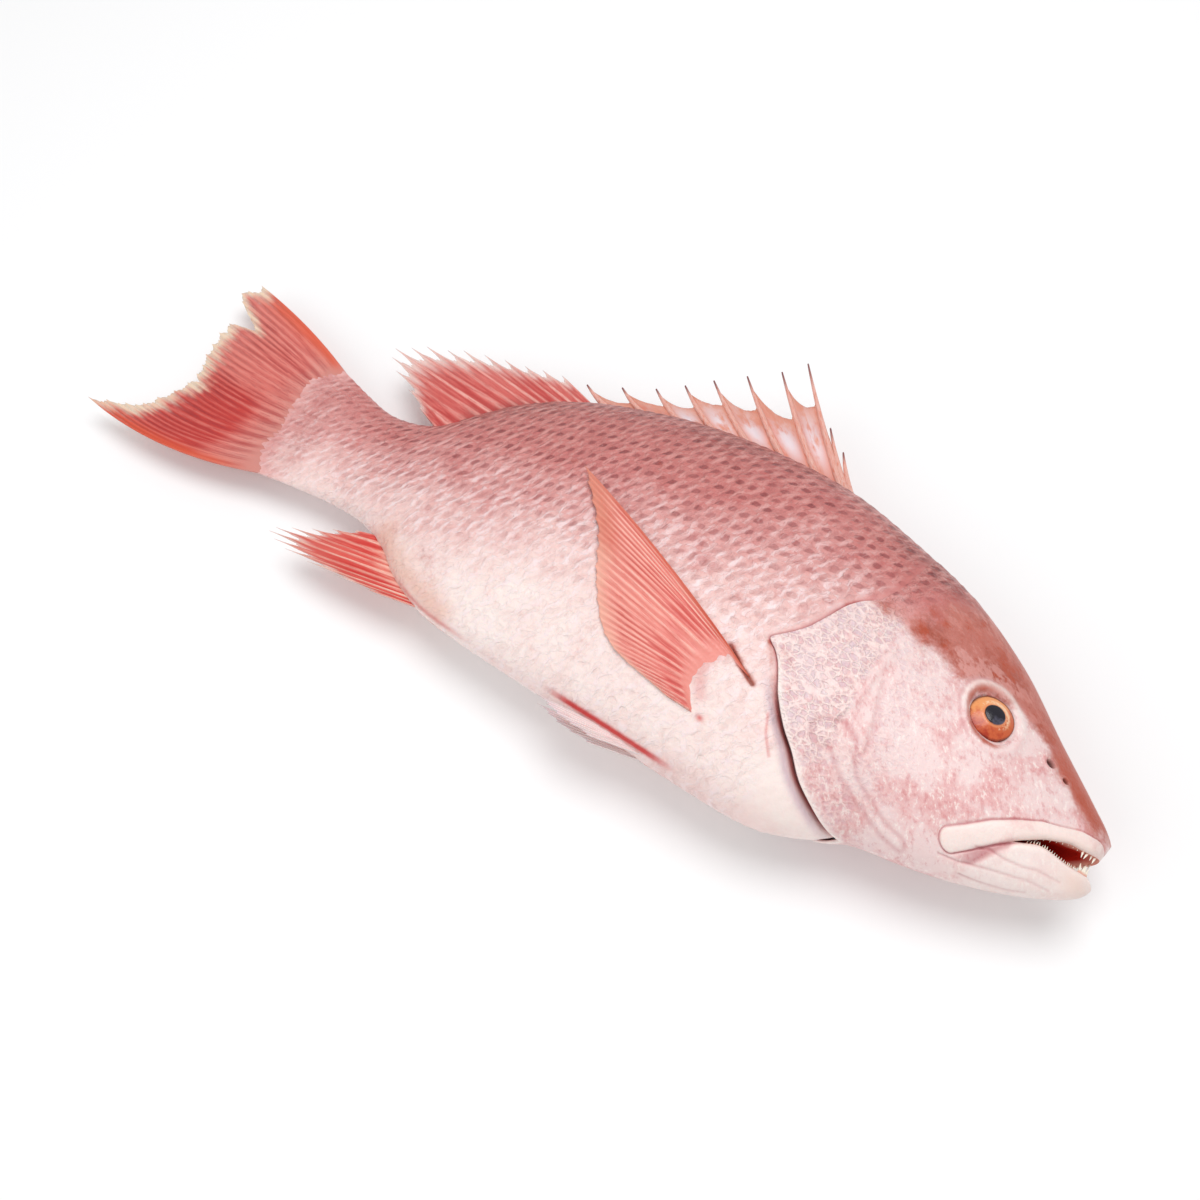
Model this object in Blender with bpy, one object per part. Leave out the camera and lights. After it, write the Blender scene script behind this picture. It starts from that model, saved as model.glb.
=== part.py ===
"""A whole raw snapper lying on its left side, its right flank up, as one solid piece.

The trunk and head are one loft of oval sections. The fins are thin webs with thicker rays, and the eyes,
lips, gill slits and mouth are worked into the same body. The snout points to +X, the back to +Y, and the fish
rests on a flat spot of its left flank at z = 0. Positions along the fish are shares of its standard length,
from 0 at the snout to 1 at the root of the tail fin. Heights above or below its axis are shares of the same
length. The origin is the middle of the footprint, on the table.
"""

import math

import bmesh
import bpy
from mathutils import Vector

STANDARD_LENGTH = 0.420  # snout to the root of the tail fin
TAIL_SAG = 0.0150  # how much lower the middle plane lies at the root of the tail fin
SAG_START = 0.45  # share of the length where the sag begins
FIN_SAG = 0.0040  # further sag from the root to the tip of the tail fin
PRESS = 0.0018  # how far the resting flank is pressed flat

# Outlines of the body in the middle plane, as (station, height), and its half width.
BACK = (
    (-0.010, -0.014), (0.000, 0.002), (0.025, 0.024), (0.080, 0.069), (0.147, 0.126), (0.225, 0.173),
    (0.315, 0.204), (0.400, 0.225), (0.500, 0.228), (0.600, 0.219), (0.690, 0.197), (0.745, 0.174),
    (0.787, 0.145), (0.817, 0.113), (0.844, 0.080), (0.872, 0.065), (0.910, 0.060), (0.950, 0.069),
    (1.000, 0.085), (1.050, 0.098),
)
BELLY = (
    (-0.010, -0.056), (0.000, -0.068), (0.020, -0.081), (0.060, -0.100), (0.112, -0.117), (0.160, -0.127),
    (0.215, -0.136), (0.250, -0.153), (0.300, -0.170), (0.360, -0.172), (0.500, -0.164), (0.600, -0.157),
    (0.675, -0.150), (0.730, -0.140), (0.775, -0.120), (0.815, -0.092), (0.860, -0.076), (0.920, -0.075),
    (1.000, -0.086), (1.050, -0.096),
)
HALF_WIDTH = (
    (-0.010, 0.006), (0.000, 0.016), (0.030, 0.029), (0.080, 0.043), (0.150, 0.057), (0.230, 0.070),
    (0.320, 0.079), (0.420, 0.081), (0.520, 0.076), (0.640, 0.063), (0.760, 0.046), (0.860, 0.030),
    (0.940, 0.022), (1.000, 0.015), (1.050, 0.007),
)
WIDEST = 0.47  # where a section is widest, as a share of its height from the belly
BACK_KEEL = 1.12  # over 1 draws the section in towards the back
BELLY_KEEL = 0.96
AXIS_LIFT = max(half for _, half in HALF_WIDTH) * STANDARD_LENGTH - PRESS  # middle plane above the table

BODY_RINGS = 42
RING_POINTS = 32
BODY_START = -0.010
BODY_END = 1.030
NOSE_CROWDING = 0.45  # share by which the rings crowd towards the snout

EYE_AT = (0.152, 0.032)
EYE_RADIUS = 0.0105
EYE_STAND = 0.0016  # how far the eye stands out of the cheek
EYE_FLATTENING = 0.5

MOUTH_CORNER = (0.085, -0.068)
MOUTH_FRONT = (-0.030, -0.006)  # upper edge of the opening, ahead of the snout
MOUTH_DROP = 0.0320  # opening height there, as a share of the length
MOUTH_BEND = 0.030  # how far ahead of its corner the mouth's edges bend
MOUTH_ARCH = 0.015  # rise of the upper and of the lower edge over that stretch
JAW_ARCH = 0.007
CUTTER_REACH = 0.050  # metres that the mouth's cutter reaches to each side
LIP_PATH = ((0.004, -0.018), (0.045, -0.034), (0.095, -0.067), (0.137, -0.092))
LIP_RADII = (0.0034, 0.0038, 0.0048, 0.0046)
LIP_SIDES = 8
LIP_FLATNESS = 0.7
LIP_SUNK = 0.4  # share of the bead's radius that lies under the skin

GILL_PATH = (
    (0.303, 0.080), (0.337, 0.036), (0.374, -0.017), (0.348, -0.042), (0.325, -0.078), (0.288, -0.111),
    (0.250, -0.139), (0.222, -0.160),
)
GILL_WIDTH = 0.0026
CREASE_DEPTH = 0.0016  # above the tip of the gill cover there is only a crease
GILL_DEPTH = 0.0070
GILL_OPEN_FROM = 0.36  # share of the path where the slit has its full depth
GILL_CLEARANCE = 0.012  # metres that the cutting blade stands above the skin

SPINE_COUNT = 10
FIRST_SPINES = (0.386, 0.392, 0.400)  # stations of the three spines that lean together at the front
NEXT_SPINE = 0.432
SPINE_STEP = 0.0405
SPINE_HALF_WIDTH = 0.0026
SPINE_WEB_REACH = 0.66  # share of a spine's length that the web between it and the next one reaches
SOFT_RAY_COUNT = 14
SOFT_BASE = (0.688, 0.840)
TAIL_RAY_COUNT = 17
ANAL_RAY_COUNT = 10
ANAL_BASE = (0.722, 0.812)
PECTORAL_RAY_COUNT = 15
PECTORAL_LIFTS = (0.0010, 0.0040)  # metres off the skin at the root and at the tip
PELVIC_RAY_COUNT = 5
PELVIC_SPREAD = 0.010  # how far each pelvic fin's tip stands off the middle plane
SPINE_ROOT_DEPTH = 0.014  # shares of the length that the fins' roots are sunk into the body
SOFT_ROOT_DEPTH = 0.020
ANAL_ROOT_DEPTH = 0.016

WEB_THICKNESS = 0.0013
RAY_THICKNESS = 0.0026
TIP_THICKNESS = 0.0009
PRESSED_FIN_HEIGHT = 0.0004  # a fin under the resting flank is squeezed to the table at about this height

FLESH_PINK = (0.72, 0.33, 0.31, 1.0)


def clear_scene():
    """Removes every object, so that the fish is built in an empty scene."""
    for obj in list(bpy.data.objects):
        bpy.data.objects.remove(obj, do_unlink=True)


def curve_at(points, t):
    """Height of a smooth curve through points at t, with no overshoot between them."""
    if t <= points[0][0]:
        return points[0][1]
    if t >= points[-1][0]:
        return points[-1][1]
    k = max(i for i in range(len(points) - 1) if points[i][0] <= t)
    slopes = []
    for i in (k, k + 1):
        left = max(i - 1, 0)
        right = min(i + 1, len(points) - 1)
        slopes.append((points[right][1] - points[left][1]) / (points[right][0] - points[left][0]))
    (t0, v0), (t1, v1) = points[k], points[k + 1]
    span = t1 - t0
    u = (t - t0) / span
    return (
        v0 * (1 + 2 * u) * (1 - u) ** 2
        + slopes[0] * span * u * (1 - u) ** 2
        + v1 * u * u * (3 - 2 * u)
        + slopes[1] * span * u * u * (u - 1)
    )


def middle_height(s):
    """Height in metres of the fish's middle plane above the table at station s."""
    t = min(max((s - SAG_START) / (1 - SAG_START), 0), 1)
    past_root = max(s - 1, 0) / 0.2
    return AXIS_LIFT - TAIL_SAG * t * t * (3 - 2 * t) - FIN_SAG * past_root


def section(s):
    """The widest level, the reach up and down from it and the half width of the section at s."""
    top = curve_at(BACK, s)
    bottom = curve_at(BELLY, s)
    level = bottom + WIDEST * (top - bottom)
    return level, top - level, level - bottom, curve_at(HALF_WIDTH, s)


def skin_height(s, y, side):
    """Height in metres of the skin at station s and height y, on the upper (1) or resting (-1) flank."""
    level, up, down, half = section(s)
    reach = up if y >= level else down
    keel = BACK_KEEL if y >= level else BELLY_KEEL
    c = min(abs(y - level) / reach, 1)
    rise = math.sqrt(1 - c * c) ** keel
    return middle_height(s) + side * half * rise * STANDARD_LENGTH


def place(s, y, z):
    """World position of station s and height y, at z metres."""
    return Vector(((0.5 - s) * STANDARD_LENGTH, y * STANDARD_LENGTH, z))


def mesh_object(name, bm):
    """Turns a bmesh into a linked object with outward faces."""
    bmesh.ops.recalc_face_normals(bm, faces=bm.faces)
    mesh = bpy.data.meshes.new(name)
    bm.to_mesh(mesh)
    bm.free()
    obj = bpy.data.objects.new(name, mesh)
    bpy.context.scene.collection.objects.link(obj)
    return obj


def body_loft():
    """Head and trunk: oval rings from the snout to the root of the tail fin."""
    bm = bmesh.new()
    rings = []
    for i in range(BODY_RINGS):
        t = i / (BODY_RINGS - 1)
        s = BODY_START + (BODY_END - BODY_START) * ((1 - NOSE_CROWDING) * t + NOSE_CROWDING * t * t)
        level, up, down, half = section(s)
        ring = []
        for k in range(RING_POINTS):
            angle = 2 * math.pi * k / RING_POINTS
            c, n = math.cos(angle), math.sin(angle)
            keel = BACK_KEEL if c >= 0 else BELLY_KEEL
            y = level + (up if c >= 0 else down) * c
            z = middle_height(s) + math.copysign(abs(n) ** keel, n) * half * STANDARD_LENGTH
            ring.append(bm.verts.new(place(s, y, z)))
        rings.append(ring)
    for a, b in zip(rings, rings[1:]):
        for k in range(RING_POINTS):
            n = (k + 1) % RING_POINTS
            bm.faces.new((a[k], a[n], b[n], b[k]))
    bm.faces.new(rings[0])
    bm.faces.new(rings[-1])
    return mesh_object("fish", bm)


def web(name, columns, middle):
    """A thin closed web. A column is a row of (station, height, thickness); middle gives the web's height."""
    bm = bmesh.new()
    sheets = []
    for side in (1, -1):
        sheets.append([
            [bm.verts.new(place(s, y, middle(s, y) + side * thick / 2)) for s, y, thick in column]
            for column in columns
        ])
    last = len(columns) - 1
    rows = len(columns[0]) - 1
    for i in range(last):
        for j in range(rows):
            for sheet in sheets:
                bm.faces.new((sheet[i][j], sheet[i + 1][j], sheet[i + 1][j + 1], sheet[i][j + 1]))
    upper, lower = sheets
    for i in range(last):
        for j in (0, rows):
            bm.faces.new((upper[i][j], upper[i + 1][j], lower[i + 1][j], lower[i][j]))
    for j in range(rows):
        for i in (0, last):
            bm.faces.new((upper[i][j], upper[i][j + 1], lower[i][j + 1], lower[i][j]))
    return mesh_object(name, bm)


def mix(a, b, t):
    """Point between a and b."""
    return tuple(p + (q - p) * t for p, q in zip(a, b))


def spread(points, count):
    """Points evenly spaced by share along a smooth curve through a few guide points."""
    marks = [(k / (len(points) - 1), p) for k, p in enumerate(points)]
    xs = [(t, p[0]) for t, p in marks]
    ys = [(t, p[1]) for t, p in marks]
    return [(curve_at(xs, k / (count - 1)), curve_at(ys, k / (count - 1))) for k in range(count)]


def stations_along(base, count):
    """Evenly spaced stations of a fin's rays along its base."""
    return [base[0] + (base[1] - base[0]) * k / (count - 1) for k in range(count)]


def ray_web(name, roots, tips, reach, middle, rows=5, bows=(0.0, 0.0)):
    """A soft-rayed fin: a thick column on each ray and a thin one between, which ends at reach of the length.

    The rays curve up or down by bows at their middle, from the first ray to the last.
    """
    columns = []
    count = len(roots)
    for k in range(2 * count - 1):
        on_ray = k % 2 == 0
        first, second = k // 2, (k + 1) // 2
        root = mix(roots[first], roots[second], 0.5)
        tip = mix(tips[first], tips[second], 0.5)
        tip = tip if on_ray else mix(root, tip, reach)
        bow = bows[0] + (bows[1] - bows[0]) * k / (2 * count - 2)
        thick = RAY_THICKNESS if on_ray else WEB_THICKNESS
        column = []
        for j in range(rows + 1):
            v = j / rows
            s, y = mix(root, tip, v)
            column.append((s, y + 4 * bow * v * (1 - v), thick + (TIP_THICKNESS - thick) * v))
        columns.append(column)
    return web(name, columns, middle)


def on_middle(s, y):
    """Height of the middle plane, for fins that stand in it."""
    return middle_height(s)


def spiny_dorsal():
    """Front dorsal fin: stiff spines with bare tips, and webs hung between them."""
    stations = list(FIRST_SPINES)
    stations += [NEXT_SPINE + SPINE_STEP * k for k in range(SPINE_COUNT - len(FIRST_SPINES))]
    roots = [(s, curve_at(BACK, s) - SPINE_ROOT_DEPTH) for s in stations]
    tips = [(0.436, 0.272), (0.464, 0.294), (0.530, 0.363)]
    tips += spread(((0.550, 0.337), (0.612, 0.287), (0.664, 0.244), (0.738, 0.211)), SPINE_COUNT - len(tips))
    columns = []
    for k, (root, tip) in enumerate(zip(roots, tips)):
        for offset in (-SPINE_HALF_WIDTH, 0, SPINE_HALF_WIDTH):
            column = []
            for v in (0, 0.2, 0.4, 0.58, 0.76, 1):
                s, y = mix(root, tip, v)
                thick = RAY_THICKNESS + (TIP_THICKNESS - RAY_THICKNESS) * v
                column.append((s + offset * (1 - 0.85 * v), y, thick if offset == 0 else 0.7 * thick))
            columns.append(column)
        if k + 1 < len(roots):
            low = mix(root, roots[k + 1], 0.5)
            high = mix(low, mix(tip, tips[k + 1], 0.5), SPINE_WEB_REACH)
            columns.append([
                (*mix(low, high, v), WEB_THICKNESS + (TIP_THICKNESS - WEB_THICKNESS) * v)
                for v in (0, 0.25, 0.5, 0.75, 0.96, 1)
            ])
    return web("spiny_dorsal", columns, on_middle)


def soft_dorsal():
    """Rear dorsal fin, laid well back."""
    roots = [(s, curve_at(BACK, s) - SOFT_ROOT_DEPTH) for s in stations_along(SOFT_BASE, SOFT_RAY_COUNT)]
    tips = spread(
        ((0.770, 0.208), (0.850, 0.195), (0.925, 0.171), (0.968, 0.136), (0.892, 0.087)),
        SOFT_RAY_COUNT,
    )
    return ray_web("soft_dorsal", roots, tips, 0.90, on_middle, rows=4)


def tail_fin():
    """Forked tail fin, its upper lobe a little shorter than the lower."""
    roots = spread(((0.985, 0.072), (0.990, 0.0), (0.985, -0.074)), TAIL_RAY_COUNT)
    tips = spread(
        ((1.170, 0.141), (1.172, 0.088), (1.162, 0.030), (1.150, -0.018), (1.176, -0.072), (1.237, -0.102)),
        TAIL_RAY_COUNT,
    )
    return ray_web("tail_fin", roots, tips, 0.955, on_middle, rows=5, bows=(0.005, -0.022))


def anal_fin():
    """Anal fin, half folded and pointing back."""
    roots = [(s, curve_at(BELLY, s) + ANAL_ROOT_DEPTH) for s in stations_along(ANAL_BASE, ANAL_RAY_COUNT)]
    tips = spread(((0.815, -0.151), (0.932, -0.141), (0.903, -0.119), (0.851, -0.091)), ANAL_RAY_COUNT)
    return ray_web("anal_fin", roots, tips, 0.88, on_middle, rows=4)


def pectoral_fin(side):
    """Pectoral fin laid back along one flank, its long upper rays lifting a little off the skin."""
    roots = spread(((0.389, -0.058), (0.409, -0.087), (0.404, -0.117)), PECTORAL_RAY_COUNT)
    tips = spread(
        ((0.652, 0.071), (0.594, 0.004), (0.560, -0.052), (0.514, -0.100), (0.436, -0.120)),
        PECTORAL_RAY_COUNT,
    )

    def laid_on_flank(s, y):
        out = max(s - roots[0][0], 0) / (tips[0][0] - roots[0][0])
        lift = PECTORAL_LIFTS[0] + (PECTORAL_LIFTS[1] - PECTORAL_LIFTS[0]) * out
        return max(skin_height(s, y, side) + side * lift, PRESSED_FIN_HEIGHT)

    return ray_web(f"pectoral_{side}", roots, tips, 0.94, laid_on_flank, rows=5)


def pelvic_fin(side):
    """Pelvic fin folded back under the belly."""
    roots = spread(((0.405, -0.158), (0.410, -0.164)), PELVIC_RAY_COUNT)
    tips = spread(((0.558, -0.167), (0.530, -0.175), (0.490, -0.178)), PELVIC_RAY_COUNT)

    def beside_middle(s, y):
        out = min(max(s - roots[0][0], 0) / (tips[0][0] - roots[0][0]), 1)
        return middle_height(s) + side * PELVIC_SPREAD * (0.5 + 0.5 * out)

    return ray_web(f"pelvic_{side}", roots, tips, 0.95, beside_middle, rows=4)


def eye(side):
    """Flattened ball set in the cheek."""
    bm = bmesh.new()
    bmesh.ops.create_icosphere(bm, subdivisions=2, radius=EYE_RADIUS)
    height = skin_height(*EYE_AT, side) + side * (EYE_STAND - EYE_RADIUS * EYE_FLATTENING)
    for v in bm.verts:
        v.co = place(*EYE_AT, height) + Vector((v.co.x, v.co.y, v.co.z * EYE_FLATTENING))
    return mesh_object(f"eye_{side}", bm)


def lip(side):
    """Upper jaw bone: a bead that runs back from the snout above the mouth."""
    bm = bmesh.new()
    points = []
    for (s, y), radius in zip(LIP_PATH, LIP_RADII):
        points.append(place(s, y, skin_height(s, y, side) - side * LIP_SUNK * radius))
    rings = []
    for k, (point, radius) in enumerate(zip(points, LIP_RADII)):
        ahead = points[min(k + 1, len(points) - 1)]
        behind = points[max(k - 1, 0)]
        along = (ahead - behind).normalized()
        across = along.cross(Vector((0, 0, 1))).normalized()
        rise = across.cross(along)
        ring = []
        for j in range(LIP_SIDES):
            turn = 2 * math.pi * j / LIP_SIDES
            offset = across * math.cos(turn) + LIP_FLATNESS * rise * math.sin(turn)
            ring.append(bm.verts.new(point + radius * offset))
        rings.append(ring)
    for a, b in zip(rings, rings[1:]):
        for j in range(LIP_SIDES):
            n = (j + 1) % LIP_SIDES
            bm.faces.new((a[j], a[n], b[n], b[j]))
    bm.faces.new(rings[0])
    bm.faces.new(rings[-1])
    return mesh_object(f"lip_{side}", bm)


def mouth_cutter():
    """Wedge that opens the mouth from side to side, back to its corner."""
    bm = bmesh.new()
    corner = MOUTH_CORNER
    outline = (
        MOUTH_FRONT,
        (corner[0] - MOUTH_BEND, corner[1] + MOUTH_ARCH),
        corner,
        (corner[0] - MOUTH_BEND, corner[1] + JAW_ARCH),
        (MOUTH_FRONT[0], MOUTH_FRONT[1] - MOUTH_DROP),
    )
    rims = [[bm.verts.new(place(*p, AXIS_LIFT + side * CUTTER_REACH)) for p in outline] for side in (1, -1)]
    for rim in rims:
        bm.faces.new(rim)
    for k in range(len(outline)):
        n = (k + 1) % len(outline)
        bm.faces.new((rims[0][k], rims[0][n], rims[1][n], rims[1][k]))
    return mesh_object("mouth_cutter", bm)


def gill_cutter(side):
    """Curved blade that cuts the slit behind one gill cover."""
    bm = bmesh.new()
    path = spread(GILL_PATH, 15)
    frames = []
    for k, (s, y) in enumerate(path):
        ahead = path[min(k + 1, len(path) - 1)]
        behind = path[max(k - 1, 0)]
        run = Vector((behind[0] - ahead[0], ahead[1] - behind[1], 0)).normalized()
        across = Vector((-run.y, run.x, 0)) * GILL_WIDTH / 2
        skin = skin_height(s, y, side)
        opening = min(k / (len(path) - 1) / GILL_OPEN_FROM, 1)
        depth = CREASE_DEPTH + (GILL_DEPTH - CREASE_DEPTH) * opening
        ends = (skin - side * depth, skin + side * GILL_CLEARANCE)
        corners = [place(s, y, z) + across * way for z, way in zip(ends + ends[::-1], (-1, -1, 1, 1))]
        frames.append([bm.verts.new(c) for c in corners])
    for a, b in zip(frames, frames[1:]):
        for j in range(4):
            n = (j + 1) % 4
            bm.faces.new((a[j], a[n], b[n], b[j]))
    bm.faces.new(frames[0])
    bm.faces.new(frames[-1])
    return mesh_object(f"gill_cutter_{side}", bm)


def table_cutter():
    """Block under the table plane, which presses the resting side flat."""
    bm = bmesh.new()
    bmesh.ops.create_cube(bm, size=1.0)
    for v in bm.verts:
        v.co.z = v.co.z * 0.1 - 0.05
    return mesh_object("table_cutter", bm)


def combine(body, others, operation):
    """Applies one Boolean after another to body and removes the tools."""
    for other in others:
        modifier = body.modifiers.new(other.name, "BOOLEAN")
        modifier.operation = operation
        modifier.object = other
        with bpy.context.temp_override(object=body, active_object=body):
            bpy.ops.object.modifier_apply(modifier=modifier.name)
        bpy.data.objects.remove(other, do_unlink=True)


def centre_on_table(body):
    """Moves the mesh so that the origin is the middle of its footprint, on the table."""
    xs = [v.co.x for v in body.data.vertices]
    ys = [v.co.y for v in body.data.vertices]
    shift = Vector((-(min(xs) + max(xs)) / 2, -(min(ys) + max(ys)) / 2, 0))
    for v in body.data.vertices:
        v.co += shift


def skin_material():
    """Wet pink skin."""
    material = bpy.data.materials.new("wet_skin")
    material.use_nodes = True
    shader = material.node_tree.nodes["Principled BSDF"]
    shader.inputs["Base Color"].default_value = FLESH_PINK
    shader.inputs["Roughness"].default_value = 0.35
    shader.inputs["Metallic"].default_value = 0.0
    return material


def build_fish():
    """Builds the whole fish as one solid."""
    clear_scene()
    body = body_loft()
    fins = [spiny_dorsal(), soft_dorsal(), tail_fin(), anal_fin()]
    for side in (1, -1):
        fins += [pectoral_fin(side), pelvic_fin(side)]
    combine(body, [mouth_cutter()] + [gill_cutter(side) for side in (1, -1)], "DIFFERENCE")
    combine(body, [lip(1), lip(-1), eye(1), eye(-1)] + fins, "UNION")
    combine(body, [table_cutter()], "DIFFERENCE")
    centre_on_table(body)
    body.data.materials.clear()
    body.data.materials.append(skin_material())
    body.data.shade_smooth()
    return body


build_fish()
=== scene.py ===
"""Looks of a whole raw snapper on its left flank: scaled skin, gill covers, eyes, mouth, teeth and fins.

Places on the body are given as a station along the fish, 0 at the snout and 1 at the root of the tail fin,
and either a height over the fish's axis or a girth, the way round the flank from its widest line. All three
are shares of the standard length. The snout points to +X, the back to +Y and the shown flank to +Z.
"""

import logging
import math
from dataclasses import dataclass
from enum import Enum
from functools import cached_property

import bpy
import numpy as np
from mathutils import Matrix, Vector


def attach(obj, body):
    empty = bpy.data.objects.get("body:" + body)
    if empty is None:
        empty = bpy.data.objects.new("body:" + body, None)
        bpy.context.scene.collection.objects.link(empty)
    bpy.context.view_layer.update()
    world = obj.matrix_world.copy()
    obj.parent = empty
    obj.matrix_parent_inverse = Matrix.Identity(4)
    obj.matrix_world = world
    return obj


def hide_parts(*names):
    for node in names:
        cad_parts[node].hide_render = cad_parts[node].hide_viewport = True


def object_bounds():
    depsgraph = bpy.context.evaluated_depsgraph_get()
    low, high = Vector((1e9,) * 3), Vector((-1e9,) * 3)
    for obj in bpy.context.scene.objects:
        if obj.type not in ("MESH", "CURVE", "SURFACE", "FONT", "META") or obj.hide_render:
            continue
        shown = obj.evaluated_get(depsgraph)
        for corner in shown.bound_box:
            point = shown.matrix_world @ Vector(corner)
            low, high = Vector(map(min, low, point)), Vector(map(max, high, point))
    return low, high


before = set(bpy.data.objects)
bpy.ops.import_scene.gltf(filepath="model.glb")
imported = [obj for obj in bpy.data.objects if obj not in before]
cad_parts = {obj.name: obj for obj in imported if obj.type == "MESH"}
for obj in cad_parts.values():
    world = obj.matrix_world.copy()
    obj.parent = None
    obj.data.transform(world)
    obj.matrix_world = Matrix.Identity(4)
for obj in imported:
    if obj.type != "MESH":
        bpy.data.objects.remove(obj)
CAD_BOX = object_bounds()

Array = np.ndarray
Points = tuple[tuple[float, float], ...]
Colour = tuple[float, float, float]
Values = dict[str, np.ndarray]
Material = bpy.types.Material

BODY = "root"
CAD_NODE = "fish"
HALF_TURN = math.pi / 2
SNOUT_STATION = -0.010
TAIL_TIP_STATION = 1.237
HIGHEST_SPINE = 0.363
EYE_STATION, EYE_GIRTH = 0.152, 0.038
LENGTH = (CAD_BOX[1].x - CAD_BOX[0].x) / (TAIL_TIP_STATION - SNOUT_STATION)
SNOUT_X = CAD_BOX[1].x + SNOUT_STATION * LENGTH
AXIS_Y = CAD_BOX[1].y - HIGHEST_SPINE * LENGTH
LOG = logging.getLogger("fish")


class Slot(str, Enum):
    """The record's material slots."""

    SKIN = "skin"
    FINS = "fins"
    EYE = "eye"
    MOUTH = "mouth"
    TEETH = "teeth"


class Side(Enum):
    """A flank of the fish, with the way that it faces."""

    SHOWN = 1
    RESTING = -1


def curve_at(points: Points, t: Array | float) -> Array:
    """Reads a smooth curve through points.

    Args:
        points: Rising positions, each with its value.
        t: Where to read the curve. Past its ends it stays level.

    Returns:
        The curve's value at each t.
    """
    xs, ys = np.array(points, float).T
    last = len(xs) - 1
    slopes = np.array([
        (ys[min(i + 1, last)] - ys[max(i - 1, 0)]) / (xs[min(i + 1, last)] - xs[max(i - 1, 0)])
        for i in range(last + 1)
    ])
    t = np.clip(np.asarray(t, float), xs[0], xs[-1])
    k = np.clip(np.searchsorted(xs, t, "right") - 1, 0, last - 1)
    span = xs[k + 1] - xs[k]
    u = (t - xs[k]) / span
    return (
        ys[k] * (1 + 2 * u) * (1 - u) ** 2
        + slopes[k] * span * u * (1 - u) ** 2
        + ys[k + 1] * u * u * (3 - 2 * u)
        + slopes[k + 1] * span * u * u * (u - 1)
    )


def outline(*pairs: tuple[float, float]) -> Points:
    """Points from pairs of numbers in thousandths of the fish's length."""
    return tuple((a / 1000, b / 1000) for a, b in pairs)


def along(guides: Points, share: Array | float) -> tuple[Array, Array]:
    """Reads a smooth line through guide points that lie evenly along it.

    Args:
        guides: The points, as (station, height).
        share: Share of the way along, from 0 to 1.

    Returns:
        Stations and heights.
    """
    marks = [k / (len(guides) - 1) for k in range(len(guides))]
    stations = tuple((m, g[0]) for m, g in zip(marks, guides))
    heights = tuple((m, g[1]) for m, g in zip(marks, guides))
    return curve_at(stations, share), curve_at(heights, share)


def ease(x: Array | float, low: float, high: float) -> Array:
    """Rises smoothly from 0 at low to 1 at high."""
    t = np.clip((np.asarray(x, float) - low) / (high - low), 0, 1)
    return t * t * (3 - 2 * t)


def bell(x: Array, width: Array | float) -> Array:
    """Falls smoothly from 1 at zero, to a third at the given width."""
    return np.exp(-((x / width) ** 2))


def nearest(path: Points, a: Array, b: Array) -> tuple[Array, Array]:
    """Measures how far points lie from a broken line.

    Args:
        path: Corners of the line.
        a: First coordinate of each point.
        b: Second coordinate of each point.

    Returns:
        The distance, and the share of the corners passed at the nearest place.
    """
    best = np.full(np.shape(a), np.inf)
    share = np.zeros(np.shape(a))
    last = len(path) - 1
    for k in range(last):
        (a0, b0), (a1, b1) = path[k], path[k + 1]
        da, db = a1 - a0, b1 - b0
        t = np.clip(((a - a0) * da + (b - b0) * db) / (da * da + db * db), 0, 1)
        gap = np.hypot(a - a0 - t * da, b - b0 - t * db)
        closer = gap < best
        best = np.where(closer, gap, best)
        share = np.where(closer, (k + t) / last, share)
    return best, share


def turns(count: int) -> Array:
    """Angles evenly spaced once round, as one row."""
    return np.linspace(0, 2 * math.pi, count, endpoint=False)[None, :]


def value_noise(a: Array, b: Array, seed: int) -> Array:
    """Smooth random values over a plane, with one lattice point for each unit.

    Args:
        a: First coordinate of each point.
        b: Second coordinate of each point.
        seed: Which set of random values to use.

    Returns:
        Values between -1 and 1.
    """
    table = np.random.default_rng(seed).uniform(-1, 1, (64, 64))
    i, j = np.floor(a).astype(int), np.floor(b).astype(int)
    u, v = ease(a - i, 0, 1), ease(b - j, 0, 1)
    corner = [[table[(i + p) % 64, (j + q) % 64] for q in (0, 1)] for p in (0, 1)]
    low = corner[0][0] * (1 - v) + corner[0][1] * v
    high = corner[1][0] * (1 - v) + corner[1][1] * v
    return low * (1 - u) + high * u


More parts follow.
